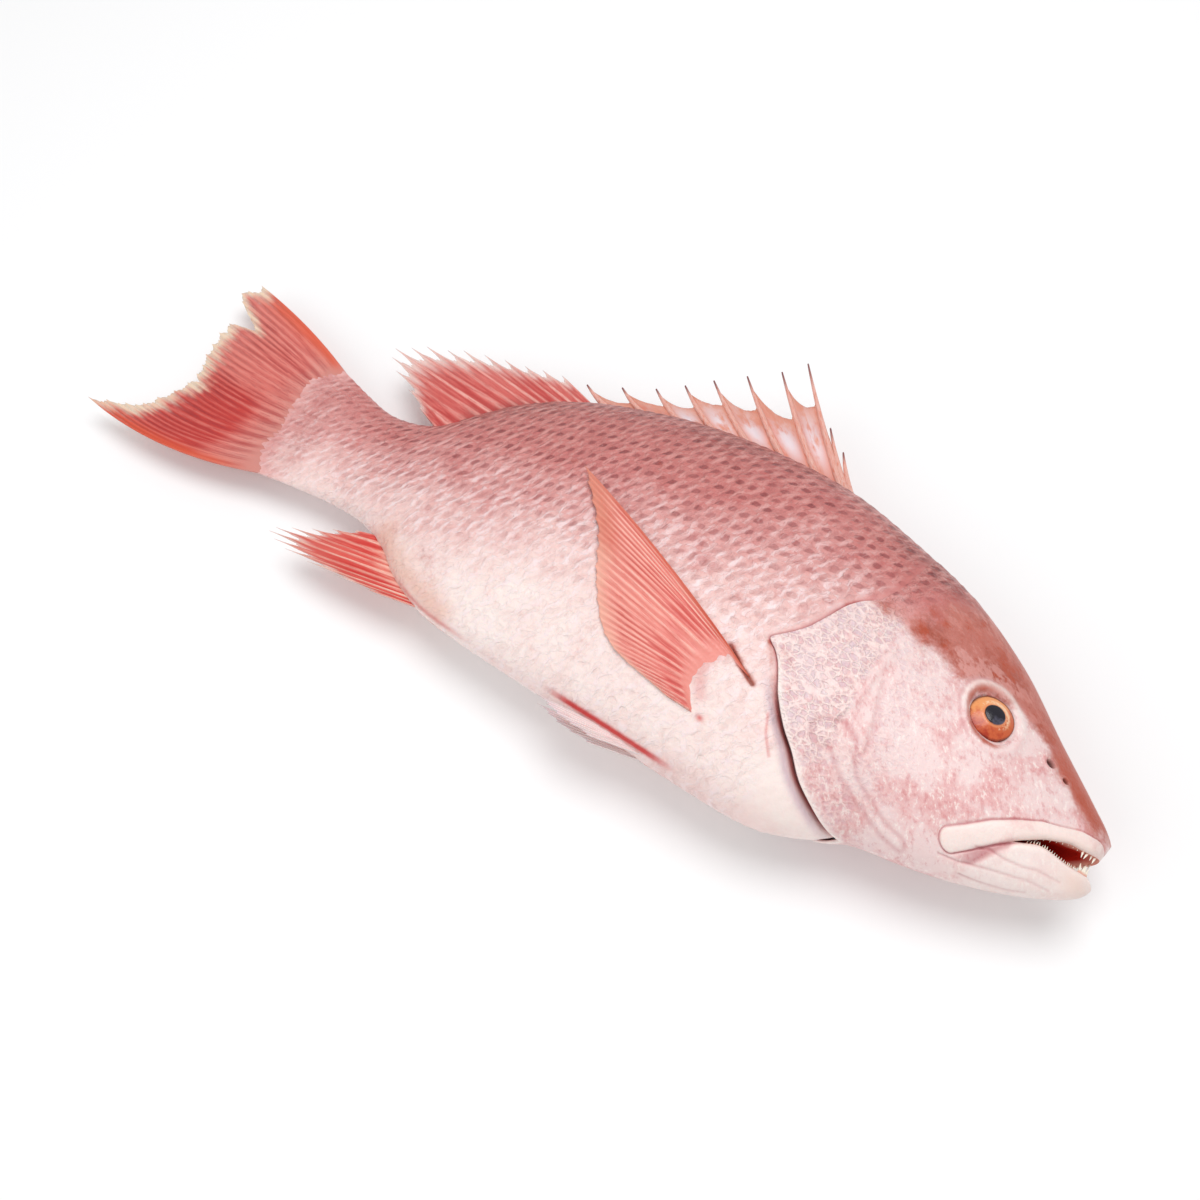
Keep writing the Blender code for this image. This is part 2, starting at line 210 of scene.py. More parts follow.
@dataclass(frozen=True)
class BodyForm:
    """The bare form of head and trunk: oval sections along a gently sagging axis."""

    back: Points = outline(
        (-10, -14), (0, 2), (25, 24), (80, 69), (147, 126), (225, 173), (315, 204), (400, 225), (500, 228),
        (600, 219), (690, 197), (745, 174), (787, 145), (817, 113), (844, 80), (872, 65), (910, 60),
        (950, 69), (1000, 85), (1050, 98),
    )
    belly: Points = outline(
        (-10, -56), (0, -68), (20, -81), (60, -100), (112, -117), (160, -127), (215, -136), (250, -153),
        (300, -170), (360, -172), (500, -164), (600, -157), (675, -150), (730, -140), (775, -120), (815, -92),
        (860, -76), (920, -75), (1000, -86), (1050, -96),
    )
    half_width: Points = outline(
        (-10, 6), (0, 16), (30, 29), (80, 43), (150, 57), (230, 70), (320, 79), (420, 81), (520, 76),
        (640, 63), (760, 46), (860, 30), (940, 22), (1000, 15), (1050, 7),
    )
    widest: float = 0.47
    back_keel: float = 1.12
    belly_keel: float = 0.96
    press: float = 0.0018
    tail_sag: float = 0.0150
    sag_start: float = 0.45
    fin_sag: float = 0.0040
    bow: float = -0.012
    bow_length: float = 0.016
    floor_softness: float = 0.0006

    @property
    def lift(self) -> float:
        """Height of the middle plane over the table, at the head."""
        return max(half for _, half in self.half_width) * LENGTH - self.press

    def middle(self, s: Array | float) -> Array:
        """Height of the middle plane over the table.

        Args:
            s: Stations.

        Returns:
            Heights in metres.
        """
        t = np.clip((np.asarray(s, float) - self.sag_start) / (1 - self.sag_start), 0, 1)
        past = np.maximum(np.asarray(s, float) - 1, 0) / 0.2
        return self.lift - self.tail_sag * t * t * (3 - 2 * t) - self.fin_sag * past

    def section(self, s: Array | float) -> tuple[Array, Array, Array, Array]:
        """Sizes of the oval section.

        Args:
            s: Stations.

        Returns:
            The widest level, the reach over it and under it, and the half width.
        """
        top, bottom = curve_at(self.back, s), curve_at(self.belly, s)
        level = bottom + self.widest * (top - bottom)
        return level, top - level, level - bottom, curve_at(self.half_width, s)

    def place(self, s: Array | float, y: Array | float, z: Array | float) -> Array:
        """Points in metres for stations s and heights y in shares, and heights z in metres."""
        s, y, z = np.broadcast_arrays(s, y, z)
        return np.stack([SNOUT_X - s * LENGTH, AXIS_Y + y * LENGTH, z], -1)

    def point(self, s: Array, phi: Array, side: Array | float) -> Array:
        """Points on the bare body.

        Args:
            s: Stations.
            phi: Angles round the flank, from -pi/2 at the belly to pi/2 at the back.
            side: 1 on the shown flank and -1 on the resting one.

        Returns:
            The points, in metres.
        """
        level, up, down, half = self.section(s)
        turn = np.sin(phi)
        keel = np.where(turn >= 0, self.back_keel, self.belly_keel)
        y = level + np.where(turn >= 0, up, down) * turn
        z = self.middle(s) + side * half * LENGTH * np.abs(np.cos(phi)) ** keel
        return self.place(s, y, z)

    def normal(self, s: Array, phi: Array, side: Array | float) -> Array:
        """Outward directions of the bare body.

        Args:
            s: Stations.
            phi: Angles round the flank.
            side: 1 on the shown flank and -1 on the resting one.

        Returns:
            Directions of length 1.
        """
        step, turn = 0.0015, 0.012
        s_in = np.maximum(s, self.bow + 2 * step)
        phi_in = np.clip(phi, -HALF_TURN + 2 * turn, HALF_TURN - 2 * turn)
        ahead = self.point(s_in + step, phi_in, side) - self.point(s_in - step, phi_in, side)
        round_ = self.point(s_in, phi_in + turn, side) - self.point(s_in, phi_in - turn, side)
        out = np.cross(round_, ahead) * np.asarray(side, float)[..., None]
        out[..., 2] = np.where(np.abs(phi) > HALF_TURN - 1e-6, 0, out[..., 2])
        return out / np.linalg.norm(out, axis=-1, keepdims=True)

    def raised(self, s: Array, phi: Array, side: Array, height: Array) -> Array:
        """Points at a height in metres over the bare body."""
        return self.point(s, phi, side) + self.normal(s, phi, side) * height[..., None]

    @cached_property
    def girth_table(self) -> tuple[Array, Array, Array]:
        """A table for finding girths.

        Returns:
            Stations, angles, and the girth at each pair of them.
        """
        stations = np.linspace(self.bow, 1.06, 500)
        angles = np.linspace(-HALF_TURN, HALF_TURN, 241)
        grid = self.point(stations[:, None], angles[None, :], 1.0)
        steps = np.hypot(np.diff(grid[..., 1]), np.diff(grid[..., 2])) / LENGTH
        girth = np.concatenate([np.zeros((len(stations), 1)), np.cumsum(steps, 1)], 1)
        widest = len(angles) // 2
        return stations, angles, girth - girth[:, widest:widest + 1]

    def girth(self, s: Array, phi: Array) -> Array:
        """Way round the flank from its widest line.

        Args:
            s: Stations.
            phi: Angles round the flank.

        Returns:
            Girths, as shares of the length.
        """
        stations, angles, table = self.girth_table
        a = np.clip((s - stations[0]) / (stations[1] - stations[0]), 0, len(stations) - 1.001)
        b = np.clip((phi - angles[0]) / (angles[1] - angles[0]), 0, len(angles) - 1.001)
        i, j = a.astype(int), b.astype(int)
        f, g = a - i, b - j
        return (
            table[i, j] * (1 - f) * (1 - g) + table[i + 1, j] * f * (1 - g)
            + table[i, j + 1] * (1 - f) * g + table[i + 1, j + 1] * f * g
        )

    def angle(self, s: Array, girth: Array) -> Array:
        """Finds the angle for a girth.

        Args:
            s: Stations.
            girth: The girth at each.

        Returns:
            Angles round the flank.
        """
        stations, angles, table = self.girth_table
        found = []
        for one, way in zip(np.ravel(s), np.ravel(girth)):
            k = int(np.clip(np.searchsorted(stations, one) - 1, 0, len(stations) - 2))
            f = np.clip((one - stations[k]) / (stations[k + 1] - stations[k]), 0, 1)
            found.append(np.interp(way, table[k] * (1 - f) + table[k + 1] * f, angles))
        return np.array(found).reshape(np.shape(s))

    def skin_height(self, s: Array, y: Array, side: float) -> Array:
        """Height of the bare skin over the table.

        Args:
            s: Stations.
            y: Heights over the fish's axis.
            side: 1 on the shown flank and -1 on the resting one.

        Returns:
            Heights in metres.
        """
        level, up, down, half = self.section(s)
        over = y >= level
        c = np.minimum(np.abs(y - level) / np.where(over, up, down), 1)
        keel = np.where(over, self.back_keel, self.belly_keel)
        return self.middle(s) + side * half * LENGTH * np.sqrt(1 - c * c) ** keel

    def rounded(self, points: Array, s: Array, start: Array) -> Array:
        """Closes the body's front end in a round bow.

        Args:
            points: Points on the flanks, in metres.
            s: Their stations.
            start: Station at which each one's row begins.

        Returns:
            The points, drawn in to the middle plane towards the start of their row.
        """
        t = np.clip((s - start) / self.bow_length, 0, 1)
        middle = self.middle(s)
        points[..., 2] = middle + (points[..., 2] - middle) * np.sqrt(np.maximum(1 - (1 - t) ** 2, 0))
        return points

    def settle(self, points: Array) -> Array:
        """Presses what would reach under the table softly flat on it.

        Args:
            points: Points, in metres.

        Returns:
            The points, none of them under the table.
        """
        z = points[..., 2]
        soft = self.floor_softness
        low = 0.5 * (z + np.sqrt(z * z + soft * soft))
        return np.concatenate([points[..., :2], np.where(z < 8 * soft, low, z)[..., None]], -1)


FORM = BodyForm()


def linear(*display: int) -> Colour:
    """Turns the red, green and blue of a display, from 0 to 255, into the colour that materials use."""
    shares = [level / 255 for level in display]
    return tuple(v / 12.92 if v <= 0.04045 else ((v + 0.055) / 1.055) ** 2.4 for v in shares)


class Wire:
    """One output in a node tree. Arithmetic on it adds math nodes."""

    def __init__(self, graph: "Graph", socket: bpy.types.NodeSocket) -> None:
        """Keeps the output and the tree that it belongs to."""
        self.graph = graph
        self.socket = socket

    def __add__(self, other: "Wire | float") -> "Wire":
        """Sum."""
        return self.graph.math("ADD", self, other)

    def __sub__(self, other: "Wire | float") -> "Wire":
        """Difference."""
        return self.graph.math("SUBTRACT", self, other)

    def __rsub__(self, other: float) -> "Wire":
        """Difference from a number."""
        return self.graph.math("SUBTRACT", other, self)

    def __mul__(self, other: "Wire | float") -> "Wire":
        """Product."""
        return self.graph.math("MULTIPLY", self, other)

    __radd__ = __add__
    __rmul__ = __mul__


class Graph:
    """A material's node tree while it is being wired, with a method for each kind of node."""

    def __init__(self, name: str) -> None:
        """Makes an empty material.

        Args:
            name: Its name.
        """
        self.material = bpy.data.materials.new(name)
        self.material.use_nodes = True
        self.tree = self.material.node_tree
        self.tree.nodes.clear()

    def node(self, kind: str, inputs: dict[int | str, object], **settings: object) -> bpy.types.Node:
        """Adds a node.

        Args:
            kind: The node's type, without the word that all of them begin with.
            inputs: Values and wires by input.
            **settings: Its options.

        Returns:
            The node.
        """
        made = self.tree.nodes.new("ShaderNode" + kind)
        for key, value in settings.items():
            setattr(made, key, value)
        for key, value in inputs.items():
            if isinstance(value, Wire):
                self.tree.links.new(value.socket, made.inputs[key])
            elif isinstance(value, tuple) and len(value) == 3 and made.inputs[key].type == "RGBA":
                made.inputs[key].default_value = (*value, 1.0)
            else:
                made.inputs[key].default_value = value
        return made

    def wire(self, output: int | str, kind: str, inputs: dict[int | str, object], **settings: object) -> Wire:
        """Adds a node and takes one of its outputs."""
        return Wire(self, self.node(kind, inputs, **settings).outputs[output])

    def math(self, operation: str, *inputs: "Wire | float") -> Wire:
        """A math node over one or two numbers."""
        return self.wire(0, "Math", dict(enumerate(inputs)), operation=operation)

    def value(self, name: str) -> Wire:
        """A number stored on the mesh."""
        return self.wire("Fac", "Attribute", {}, attribute_name=name)

    def vector(self, name: str) -> list[Wire]:
        """The three parts of a vector stored on the mesh."""
        return self.split(self.wire("Vector", "Attribute", {}, attribute_name=name))

    def split(self, vector: Wire) -> list[Wire]:
        """The three parts of a vector."""
        return [Wire(self, part) for part in self.node("SeparateXYZ", {0: vector}).outputs]

    def join(self, x: "Wire | float", y: "Wire | float", z: "Wire | float" = 0.0) -> Wire:
        """A vector of three numbers."""
        return self.wire(0, "CombineXYZ", {0: x, 1: y, 2: z})

    def body_place(self) -> Wire:
        """Position on the piece, in metres."""
        return self.wire("Object", "TexCoord", {})

    def noise(self, vector: Wire, scale: float, detail: float = 2.0, roughness: float = 0.5) -> Wire:
        """Soft random values, around one half."""
        inputs = {"Vector": vector, "Scale": scale, "Detail": detail, "Roughness": roughness}
        return self.wire("Fac", "TexNoise", inputs)

    def cell_edge(self, vector: Wire, scale: float) -> Wire:
        """Distance to the nearest edge in a pattern of irregular cells."""
        inputs = {"Vector": vector, "Scale": scale}
        return self.wire("Distance", "TexVoronoi", inputs, feature="DISTANCE_TO_EDGE")

    def random(self, vector: Wire) -> Wire:
        """One random value for each different vector."""
        return self.wire("Value", "TexWhiteNoise", {"Vector": vector}, noise_dimensions="3D")

    def ease(self, x: Wire, low: float, high: float) -> Wire:
        """Rises smoothly from 0 at low to 1 at high."""
        inputs = {"Value": x, "From Min": low, "From Max": high}
        return self.wire("Result", "MapRange", inputs, interpolation_type="SMOOTHSTEP")

    def mix(self, share: "Wire | float", first: "Wire | Colour", second: "Wire | Colour",
            blend: str = "MIX") -> Wire:
        """Mixes two colours by a share."""
        return self.wire(2, "Mix", {0: share, 6: first, 7: second}, data_type="RGBA", blend_type=blend)

    def layered(self, colour: "Wire | Colour", *layers: tuple) -> Wire:
        """Lays colours over one another.

        Args:
            colour: The lowest colour.
            *layers: For each further one its share, its colour and, where it isn't plain, its blend.

        Returns:
            The colour on top.
        """
        for share, over, *blend in layers:
            colour = self.mix(share, colour, over, *blend)
        return colour

    def ramp(self, x: Wire, stops: tuple[tuple[float, Colour], ...]) -> Wire:
        """Reads a colour ramp.

        Args:
            x: Where to read it.
            stops: Rising positions, each with its colour.

        Returns:
            The colour.
        """
        made = self.node("ValToRGB", {0: x})
        band = made.color_ramp
        while len(band.elements) < len(stops):
            band.elements.new(0.5)
        for element, (at, colour) in zip(band.elements, stops):
            element.position = at
            element.color = (*colour, 1.0)
        return Wire(self, made.outputs[0])

    def bump(self, height: Wire, distance: float, strength: float = 1.0) -> Wire:
        """A normal that follows a height."""
        return self.wire(0, "Bump", {"Height": height, "Distance": distance, "Strength": strength})

    def finish(self, **inputs: object) -> Material:
        """Wires the surface shader.

        Args:
            **inputs: The shader's inputs by name, with underscores for spaces.

        Returns:
            The finished material.
        """
        named = {key.replace("_", " "): value for key, value in inputs.items()}
        shader = self.node("BsdfPrincipled", named)
        out = self.node("OutputMaterial", {})
        self.tree.links.new(shader.outputs[0], out.inputs[0])
        return self.material

    def flesh(self, soak: float, depth: float, **inputs: object) -> Material:
        """Wires the surface shader with some share of the light soaking in, down to a depth in metres."""
        glow = {"Subsurface_Weight": soak, "Subsurface_Radius": (1.0, 0.4, 0.3), "Subsurface_Scale": depth}
        return self.finish(**glow, **inputs)


@dataclass(frozen=True)
class SkinFinish:
    """Wet scaled skin: plum marks on a pink back, a pearly belly, a rusty brow and a pale mottled cheek, with
    painted wet highlights and painted shade in the scales' pockets, creases, slits and pits.
    """

    belly: Colour = linear(252, 235, 229)
    low: Colour = linear(242, 207, 202)
    flank: Colour = linear(222, 158, 154)
    high: Colour = linear(204, 122, 118)
    back: Colour = linear(192, 110, 105)
    spine_line: Colour = linear(164, 84, 78)
    # Plum of the scales' dark spots, which also paints shade in their pockets and along dark streaks.
    mark_and_shade: Colour = (0.42, 0.20, 0.24)
    # The next two colours, pinkish on the back and pearly on the belly, serve the scales' pale edges and the
    # painted wet highlights on them; the first also lightens blots on the brow.
    light: Colour = linear(228, 170, 164)
    pearl_and_sheen: Colour = linear(248, 228, 230)
    flush: Colour = linear(198, 98, 104)
    brow: Colour = linear(168, 80, 62)
    brow_dull: Colour = linear(194, 116, 104)
    rust: Colour = linear(182, 74, 44)
    tan: Colour = linear(224, 150, 116)
    cheek: Colour = linear(240, 213, 211)
    cheek_pink: Colour = linear(230, 178, 177)
    cheek_grey: Colour = linear(212, 184, 194)
    # Painted shade in the head's grooves and folds and behind the shut gill cover.
    crease: Colour = linear(186, 96, 104)
    blood: Colour = linear(206, 24, 20)
    rim: Colour = linear(252, 238, 232)
    lip: Colour = linear(250, 231, 224)
    # Painted shade in the gill gap, the slit over the pectoral fin, the gill cover's seam, the nostrils and
    # under the gill covers.
    dark: Colour = linear(62, 20, 16)

    def scale_marks(self, g: Graph, tone: Wire) -> tuple[Wire, Wire, Wire, Wire]:
        """Works out the pattern over the scales.

        Args:
            g: The material being wired.
            tone: 0 at the belly to 1 at the back.

        Returns:
            The dark spot on each scale, partly pigment and partly painted shade in its pocket, the light line
            between spots, partly pale scale edge and partly painted wet highlight, slanting streaks, and the
            ledge.
        """
        p, q, _ = g.vector("lattice")
        loose = 1.15 - tone * 0.85
        p = p + (g.noise(g.body_place(), 150, 2) - 0.5) * loose
        q = q + (g.noise(g.body_place(), 93, 2) - 0.5) * loose * 0.8
        torn = (g.noise(g.body_place(), 640, 3, 0.7) - 0.5) * (0.44 - tone * 0.24)
        up = g.math("FRACT", q + 0.5) - 0.5
        across = p + up * 0.52
        each = g.random(g.join(g.math("FLOOR", across + 0.5), g.math("FLOOR", q + 0.5)))
        wide = g.math("COSINE", across * (2 * math.pi)) * 0.5 + 0.5
        tall = g.math("COSINE", up * (2 * math.pi)) * 0.5 + 0.5
        # Dark spot on each scale: partly its pigment, partly painted shade in its pocket.
        mark_and_shade = g.ease(wide * tall * tall + torn, 0.20, 0.62) * (0.55 + each * 0.45)
        streak = g.noise(g.join(p * 1.25 + q * 0.45, q * 0.50, 3.0), 2.1, 3, 0.66)
        wave = g.math("COSINE", q * (2 * math.pi)) * 0.20
        ledge = g.math("FRACT", p + wave + 0.62)
        ledge = ledge * (1 - g.ease(ledge, 0.80, 1.0))
        # Light line between the spots: partly the scales' pale edges, partly a painted wet highlight.
        line = g.math("POWER", 1 - wide, 1.6) * (0.20 + g.ease(streak + torn * 0.3, 0.42, 0.56) * 0.80)
        return mark_and_shade, line, streak, ledge

    def cheek_colour(self, g: Graph, patchy: Wire, fine: Wire) -> tuple[Wire, Wire]:
        """Colour of the cheek and gill cover.

        Args:
            g: The material being wired.
            patchy: Random patches.
            fine: Fine random values.

        Returns:
            The colour, and the raised net between the small plates.
        """
        at = g.body_place()
        plates = g.value("plates")
        flecks = g.noise(at, 230, 4, 0.70)
        x, y, z = g.split(at)
        bent = g.join(x * 0.8 + (flecks - 0.5) * 0.0045, y * 1.1 + (fine - 0.5) * 0.0022, z)
        net = 1 - g.ease(g.cell_edge(bent, 330), 0.02, 0.28)
        vein = g.noise(g.join(x + y * 0.5, y * 0.7, z * 0.7), 420, 4, 0.72)
        bare = 1 - plates * 0.45
        colour = g.layered(
            self.cheek,
            (g.ease(patchy, 0.40, 0.62), self.cheek_pink),
            ((1 - net) * plates * g.ease(flecks, 0.36, 0.56) * 0.72, self.cheek_grey),
            (net * plates * g.ease(patchy, 0.36, 0.58) * 0.55, self.rim),
            (g.ease(vein + (patchy - 0.5) * 0.18, 0.52, 0.66) * bare * 0.36, self.flush),
            (g.ease(vein - (patchy - 0.5) * 0.2, 0.46, 0.35) * bare * 0.70, self.rim),
        )
        return colour, net * plates * 0.9 + vein * bare * 0.8

    def material(self) -> Material:
        """Wires the material, which all pieces of skin share.

        Returns:
            The material.
        """
        g = Graph("skin")
        at = g.body_place()
        broad, patchy, fine = g.noise(at, 14, 3), g.noise(at, 62, 4, 0.62), g.noise(at, 420, 3, 0.6)
        scaled, rust = g.value("scaled"), g.value("rust")
        tone = g.value("tone") + (broad - 0.5) * 0.25 + (patchy - 0.5) * 0.34
        mark_and_shade, line, streak, ledge = self.scale_marks(g, tone)
        colour = g.ramp(tone, (
            (0.02, self.belly), (0.25, self.low), (0.50, self.flank), (0.75, self.high), (0.92, self.back),
            (1.0, self.spine_line),
        ))
        strong = g.ease(tone, 0.10, 0.85)
        # Pale colour of the scale edges and of the painted wet highlights along them.
        pale = g.mix(g.ease(tone, 0.35, 0.85), self.pearl_and_sheen, self.light)
        cheeky, net = self.cheek_colour(g, patchy, fine)
        ragged = g.ease(g.value("brow") + (patchy - 0.5) * 1.7 + (fine - 0.5) * 0.6, 0.14, 0.86)
        smeared = g.noise(at, 34, 5, 0.72)
        x, y, z = g.split(at)
        blots = g.noise(g.join(x * 0.8 + y * 0.5, y * 0.8, z), 150, 4, 0.66)
        browed = g.layered(
            self.brow,
            (g.ease(smeared, 0.40, 0.56), self.brow_dull),
            (g.ease(blots + (patchy - 0.5) * 0.6, 0.50, 0.64) * 0.62, self.light),
            (g.ease(blots + (smeared - 0.5) * 0.5, 0.48, 0.38) * 0.70, self.rust),
        )
        rusty = g.ease(rust + (patchy - 0.5) * 0.8 + (blots - 0.5) * 1.3, 0.15, 0.95) * 0.88
        lip = g.mix(g.ease(patchy, 0.50, 0.68) * 0.5, self.lip, self.cheek_pink)
        colour = g.layered(
            colour,
            (g.ease(patchy, 0.50, 0.72) * g.ease(tone, 0.25, 0.6) * 0.30, self.flush),
            # Painted shade along the dark streaks, and dark spots that are partly pigment and partly painted
            # pocket shade.
            (g.ease(streak, 0.48, 0.36) * scaled * (0.17 + strong * 0.08), self.mark_and_shade, "MULTIPLY"),
            (mark_and_shade * scaled * (strong * 0.72 + 0.08), self.mark_and_shade, "MULTIPLY"),
            # Pale lines and streaks: partly pale scale edges, partly painted wet highlights.
            (line * scaled * (0.66 - strong * 0.22), pale),
            (g.ease(streak, 0.56, 0.65) * scaled * (0.66 - strong * 0.44), pale),
            (g.value("cheek"), cheeky), (ragged, browed), (g.value("tan"), self.tan), (rusty, self.rust),
            (g.value("ash"), self.cheek_grey), (g.value("rim"), self.rim), (g.value("lip"), lip),
            (g.value("crease") * 0.8, self.crease), (g.value("blood"), self.blood),
            (g.value("dark"), self.dark),
        )
        relief = ledge * scaled * (strong * 0.30 + 0.06) - mark_and_shade * scaled * 0.30 + line * scaled * 0.20
        relief = relief + fine * 0.22 + streak * scaled * (strong * 0.5 + 0.9) + net * 0.4
        relief = relief + patchy * 0.4 + blots * ragged * 0.5
        return g.flesh(
            0.08, 0.003, Base_Color=colour, Roughness=g.ease(fine, 0.0, 1.0) * 0.20 + 0.34,
            Normal=g.bump(relief, 0.0010, 1.0), Coat_Weight=0.25, Coat_Roughness=0.22, IOR=1.40,
        )


@dataclass(frozen=True)
class FinFinish:
    """A rayed fin: pale rays, deeper grooves between them, and a colour that changes from root to edge."""

    name: str
    root: Colour
    middle: Colour
    tip: Colour
    groove: Colour
    ray: Colour
    edge: Colour
    deep: Colour
    groove_strength: float = 0.8
    ray_strength: float = 0.6
    tip_from: float = 0.78
    clear: float = 0.25
    window: Colour = linear(240, 224, 230)
    root_end: float = 0.14

    def material(self) -> Material:
        """Wires the material from the fin's own lines of rays.

        Returns:
            The material.
        """
        g = Graph(self.name)
        across, out, _ = g.vector("ray")
        at = g.body_place()
        broad, fine = g.noise(at, 55, 3, 0.6), g.noise(at, 520, 3, 0.6)
        streak = g.noise(g.join(across * 1.7, out * 1.5), 1.7, 4, 0.65)
        thread = g.noise(g.join(across * 3.2, out * 2.4, 5.0), 2.0, 4, 0.70)
        one_ray = g.random(g.join(g.math("FLOOR", across + 0.5), 1.0))
        one_gap = g.random(g.join(g.math("FLOOR", across), 2.0))
        ridge = g.value("ridge")
        reach = out + (streak - 0.5) * 0.30 + (broad - 0.5) * 0.25
        begun = g.ease(out, self.root_end * 0.45, self.root_end)
        flush = g.ease(g.value("flush") + (streak - 0.5) * 0.8 + (one_gap - 0.5) * 0.3, 0.20, 0.80)
        groove = g.ease(ridge, 0.60, 0.05) * (0.25 + one_gap * 0.75) * g.ease(streak, 0.32, 0.52)
        groove = groove * begun * (1 - g.ease(out, 0.70, 1.0) * 0.6)
        bone = g.ease(ridge, 0.45, 0.95) * (0.30 + one_ray * 0.70) * begun
        bone = bone * (0.35 + g.ease(thread, 0.38, 0.56) * 0.65)
        window = g.value("window") * g.ease(streak + (broad - 0.5) * 0.8, 0.34, 0.56)
        colour = g.layered(
            self.root,
            (g.ease(reach, self.root_end - 0.12, self.root_end + 0.21), self.middle),
            (flush, self.deep),
            (g.ease(thread, 0.50, 0.36) * begun * 0.45, self.groove),
            (groove * self.groove_strength, self.groove),
            (bone * self.ray_strength, self.ray),
            (g.ease(reach, self.tip_from, 1.0) * 0.85, self.tip),
            (g.value("edge"), self.edge),
            (window, self.window),
        )
        joints = g.math("SINE", out * 260.0) * ridge
        relief = joints * 0.10 + fine * 0.3 + streak * 0.4
        clear = g.ease(reach, 0.50, 1.0) * g.ease(ridge, 0.9, 0.1) * self.clear
        return g.flesh(
            0.12, 0.002, Base_Color=colour, Roughness=fine * 0.2 + 0.34,
            Normal=g.bump(relief, 0.0004, 0.7), Alpha=1 - clear, Coat_Weight=0.2, Coat_Roughness=0.25,
        )


@dataclass(frozen=True)
class SpineFinish:
    """Stiff fin spines: bony pink with a dusky tip."""

    bone: Colour = linear(236, 188, 176)
    flush: Colour = linear(222, 120, 92)
    tip: Colour = linear(126, 66, 66)

    def material(self) -> Material:
        """Wires the material along each spine.

        Returns:
            The material.
        """
        g = Graph("spine")
        across, out, _ = g.vector("ray")
        fine = g.noise(g.join(across * 6.0, out * 3.0), 5.0, 3, 0.6)
        colour = g.layered(
            self.bone, (g.ease(fine, 0.42, 0.68), self.flush), (g.ease(out, 0.80, 1.0), self.tip),
        )
        return g.flesh(
            0.1, 0.002, Base_Color=colour, Roughness=fine * 0.2 + 0.28,
            Normal=g.bump(fine, 0.0003, 0.6), Coat_Weight=0.3, Coat_Roughness=0.2,
        )


@dataclass(frozen=True)
class EyeFinish:
    """A glossy eye: dark clouded pupil with a painted reflection, orange iris with golden colour and painted
    highlights towards its top, and a dark rim.
    """

    pupil: Colour = linear(26, 22, 34)
    # Lighter patch in the pupil: partly its clouding, partly a painted reflection.
    cloud_and_reflection: Colour = linear(92, 90, 108)
    inner: Colour = linear(232, 146, 98)
    iris: Colour = linear(208, 98, 56)
    # Golden colour of the iris, laid thicker towards the top and rear as a painted highlight.
    gold_and_highlight: Colour = linear(238, 158, 98)
    rust: Colour = linear(176, 56, 30)
    # Painted highlights on the upper part of the iris.
    painted_glint: Colour = linear(252, 214, 176)
    rim: Colour = linear(84, 30, 22)

    def material(self) -> Material:
        """Wires the material from the distance and direction to the middle of the eye.

        Returns:
            The material.
        """
        g = Graph("eye")
        x, y, r = g.vector("iris")
        at = g.join(x, y)
        blotch, fibre = g.noise(at, 2.2, 3, 0.6), g.noise(at, 9.0, 4, 0.7)
        ring = g.ease(r, 0.44, 0.52) * g.ease(r, 0.74, 0.60)
        cloud_and_reflection = g.noise(at, 3.0, 2)
        # The pupil's lighter patch lies low and forward: partly clouding, partly painted reflection.
        pupil = g.mix(g.ease(cloud_and_reflection + x * 0.7 - y * 0.7, 0.62, 1.0) * 0.8, self.pupil, self.cloud_and_reflection)
        colour = g.layered(
            self.iris,
            # Golden patches, thicker towards the top and rear: partly iris colour, partly painted highlight.
            (g.ease(blotch + (x * -0.25) + (y * 0.3), 0.38, 0.66), self.gold_and_highlight),
            (g.ease(blotch - y * 0.35 - x * 0.1, 0.60, 0.85), self.rust),
            (g.ease(fibre, 0.5, 0.75) * 0.4, self.rust),
            # Painted highlights on the upper iris ring.
            (ring * g.ease(fibre + y * 0.25 + x * 0.1, 0.46, 0.66) * 0.8, self.painted_glint),
            (g.ease(r, 0.56, 0.46) * 0.8, self.inner),
            (g.ease(r + (blotch - 0.5) * 0.12 + y * 0.06, 0.84, 0.97), self.rim),
            (g.ease(r + (fibre - 0.5) * 0.03, 0.445, 0.415), pupil),
        )
        return g.finish(
            Base_Color=colour, Roughness=fibre * 0.1 + 0.18, Normal=g.bump(fibre, 0.0002, 0.4),
            Coat_Weight=0.4, Coat_Roughness=0.12, Specular_IOR_Level=0.3,
        )


@dataclass(frozen=True)
class MouthFinish:
    """The wet lining of the mouth, maroon and darker further in."""

    lip: Colour = linear(232, 168, 150)
    flesh: Colour = linear(172, 34, 24)
    deep: Colour = linear(140, 12, 6)

    def material(self) -> Material:
        """Wires the material by the depth into the mouth.

        Returns:
            The material.
        """
        g = Graph("mouth_lining")
        at = g.body_place()
        blotch, fine = g.noise(at, 90, 3), g.noise(at, 700, 2)
        depth = g.value("depth") + (blotch - 0.5) * 0.25
        colour = g.ramp(depth, ((0.0, self.lip), (0.16, self.flesh), (0.55, self.deep)))
        return g.finish(
            Base_Color=colour, Roughness=fine * 0.15 + 0.50, Normal=g.bump(blotch + fine * 0.3, 0.0008, 0.6),
            Coat_Weight=0.0, Specular_IOR_Level=0.0,
        )


@dataclass(frozen=True)
class ToothFinish:
    """Small ivory teeth, pinkish at the gum."""

    ivory: Colour = linear(250, 244, 228)
    gum: Colour = linear(232, 170, 150)

    def material(self) -> Material:
        """Wires the material along each tooth.

        Returns:
            The material.
        """
        g = Graph("tooth")
        _, out, _ = g.vector("ray")
        fine = g.noise(g.body_place(), 900, 2)
        colour = g.mix(g.ease(out + (fine - 0.5) * 0.2, 0.35, 0.0), self.ivory, self.gum)
        return g.finish(Base_Color=colour, Roughness=fine * 0.1 + 0.2, Normal=g.bump(fine, 0.0001, 0.4),
                        Coat_Weight=0.4, Coat_Roughness=0.1)


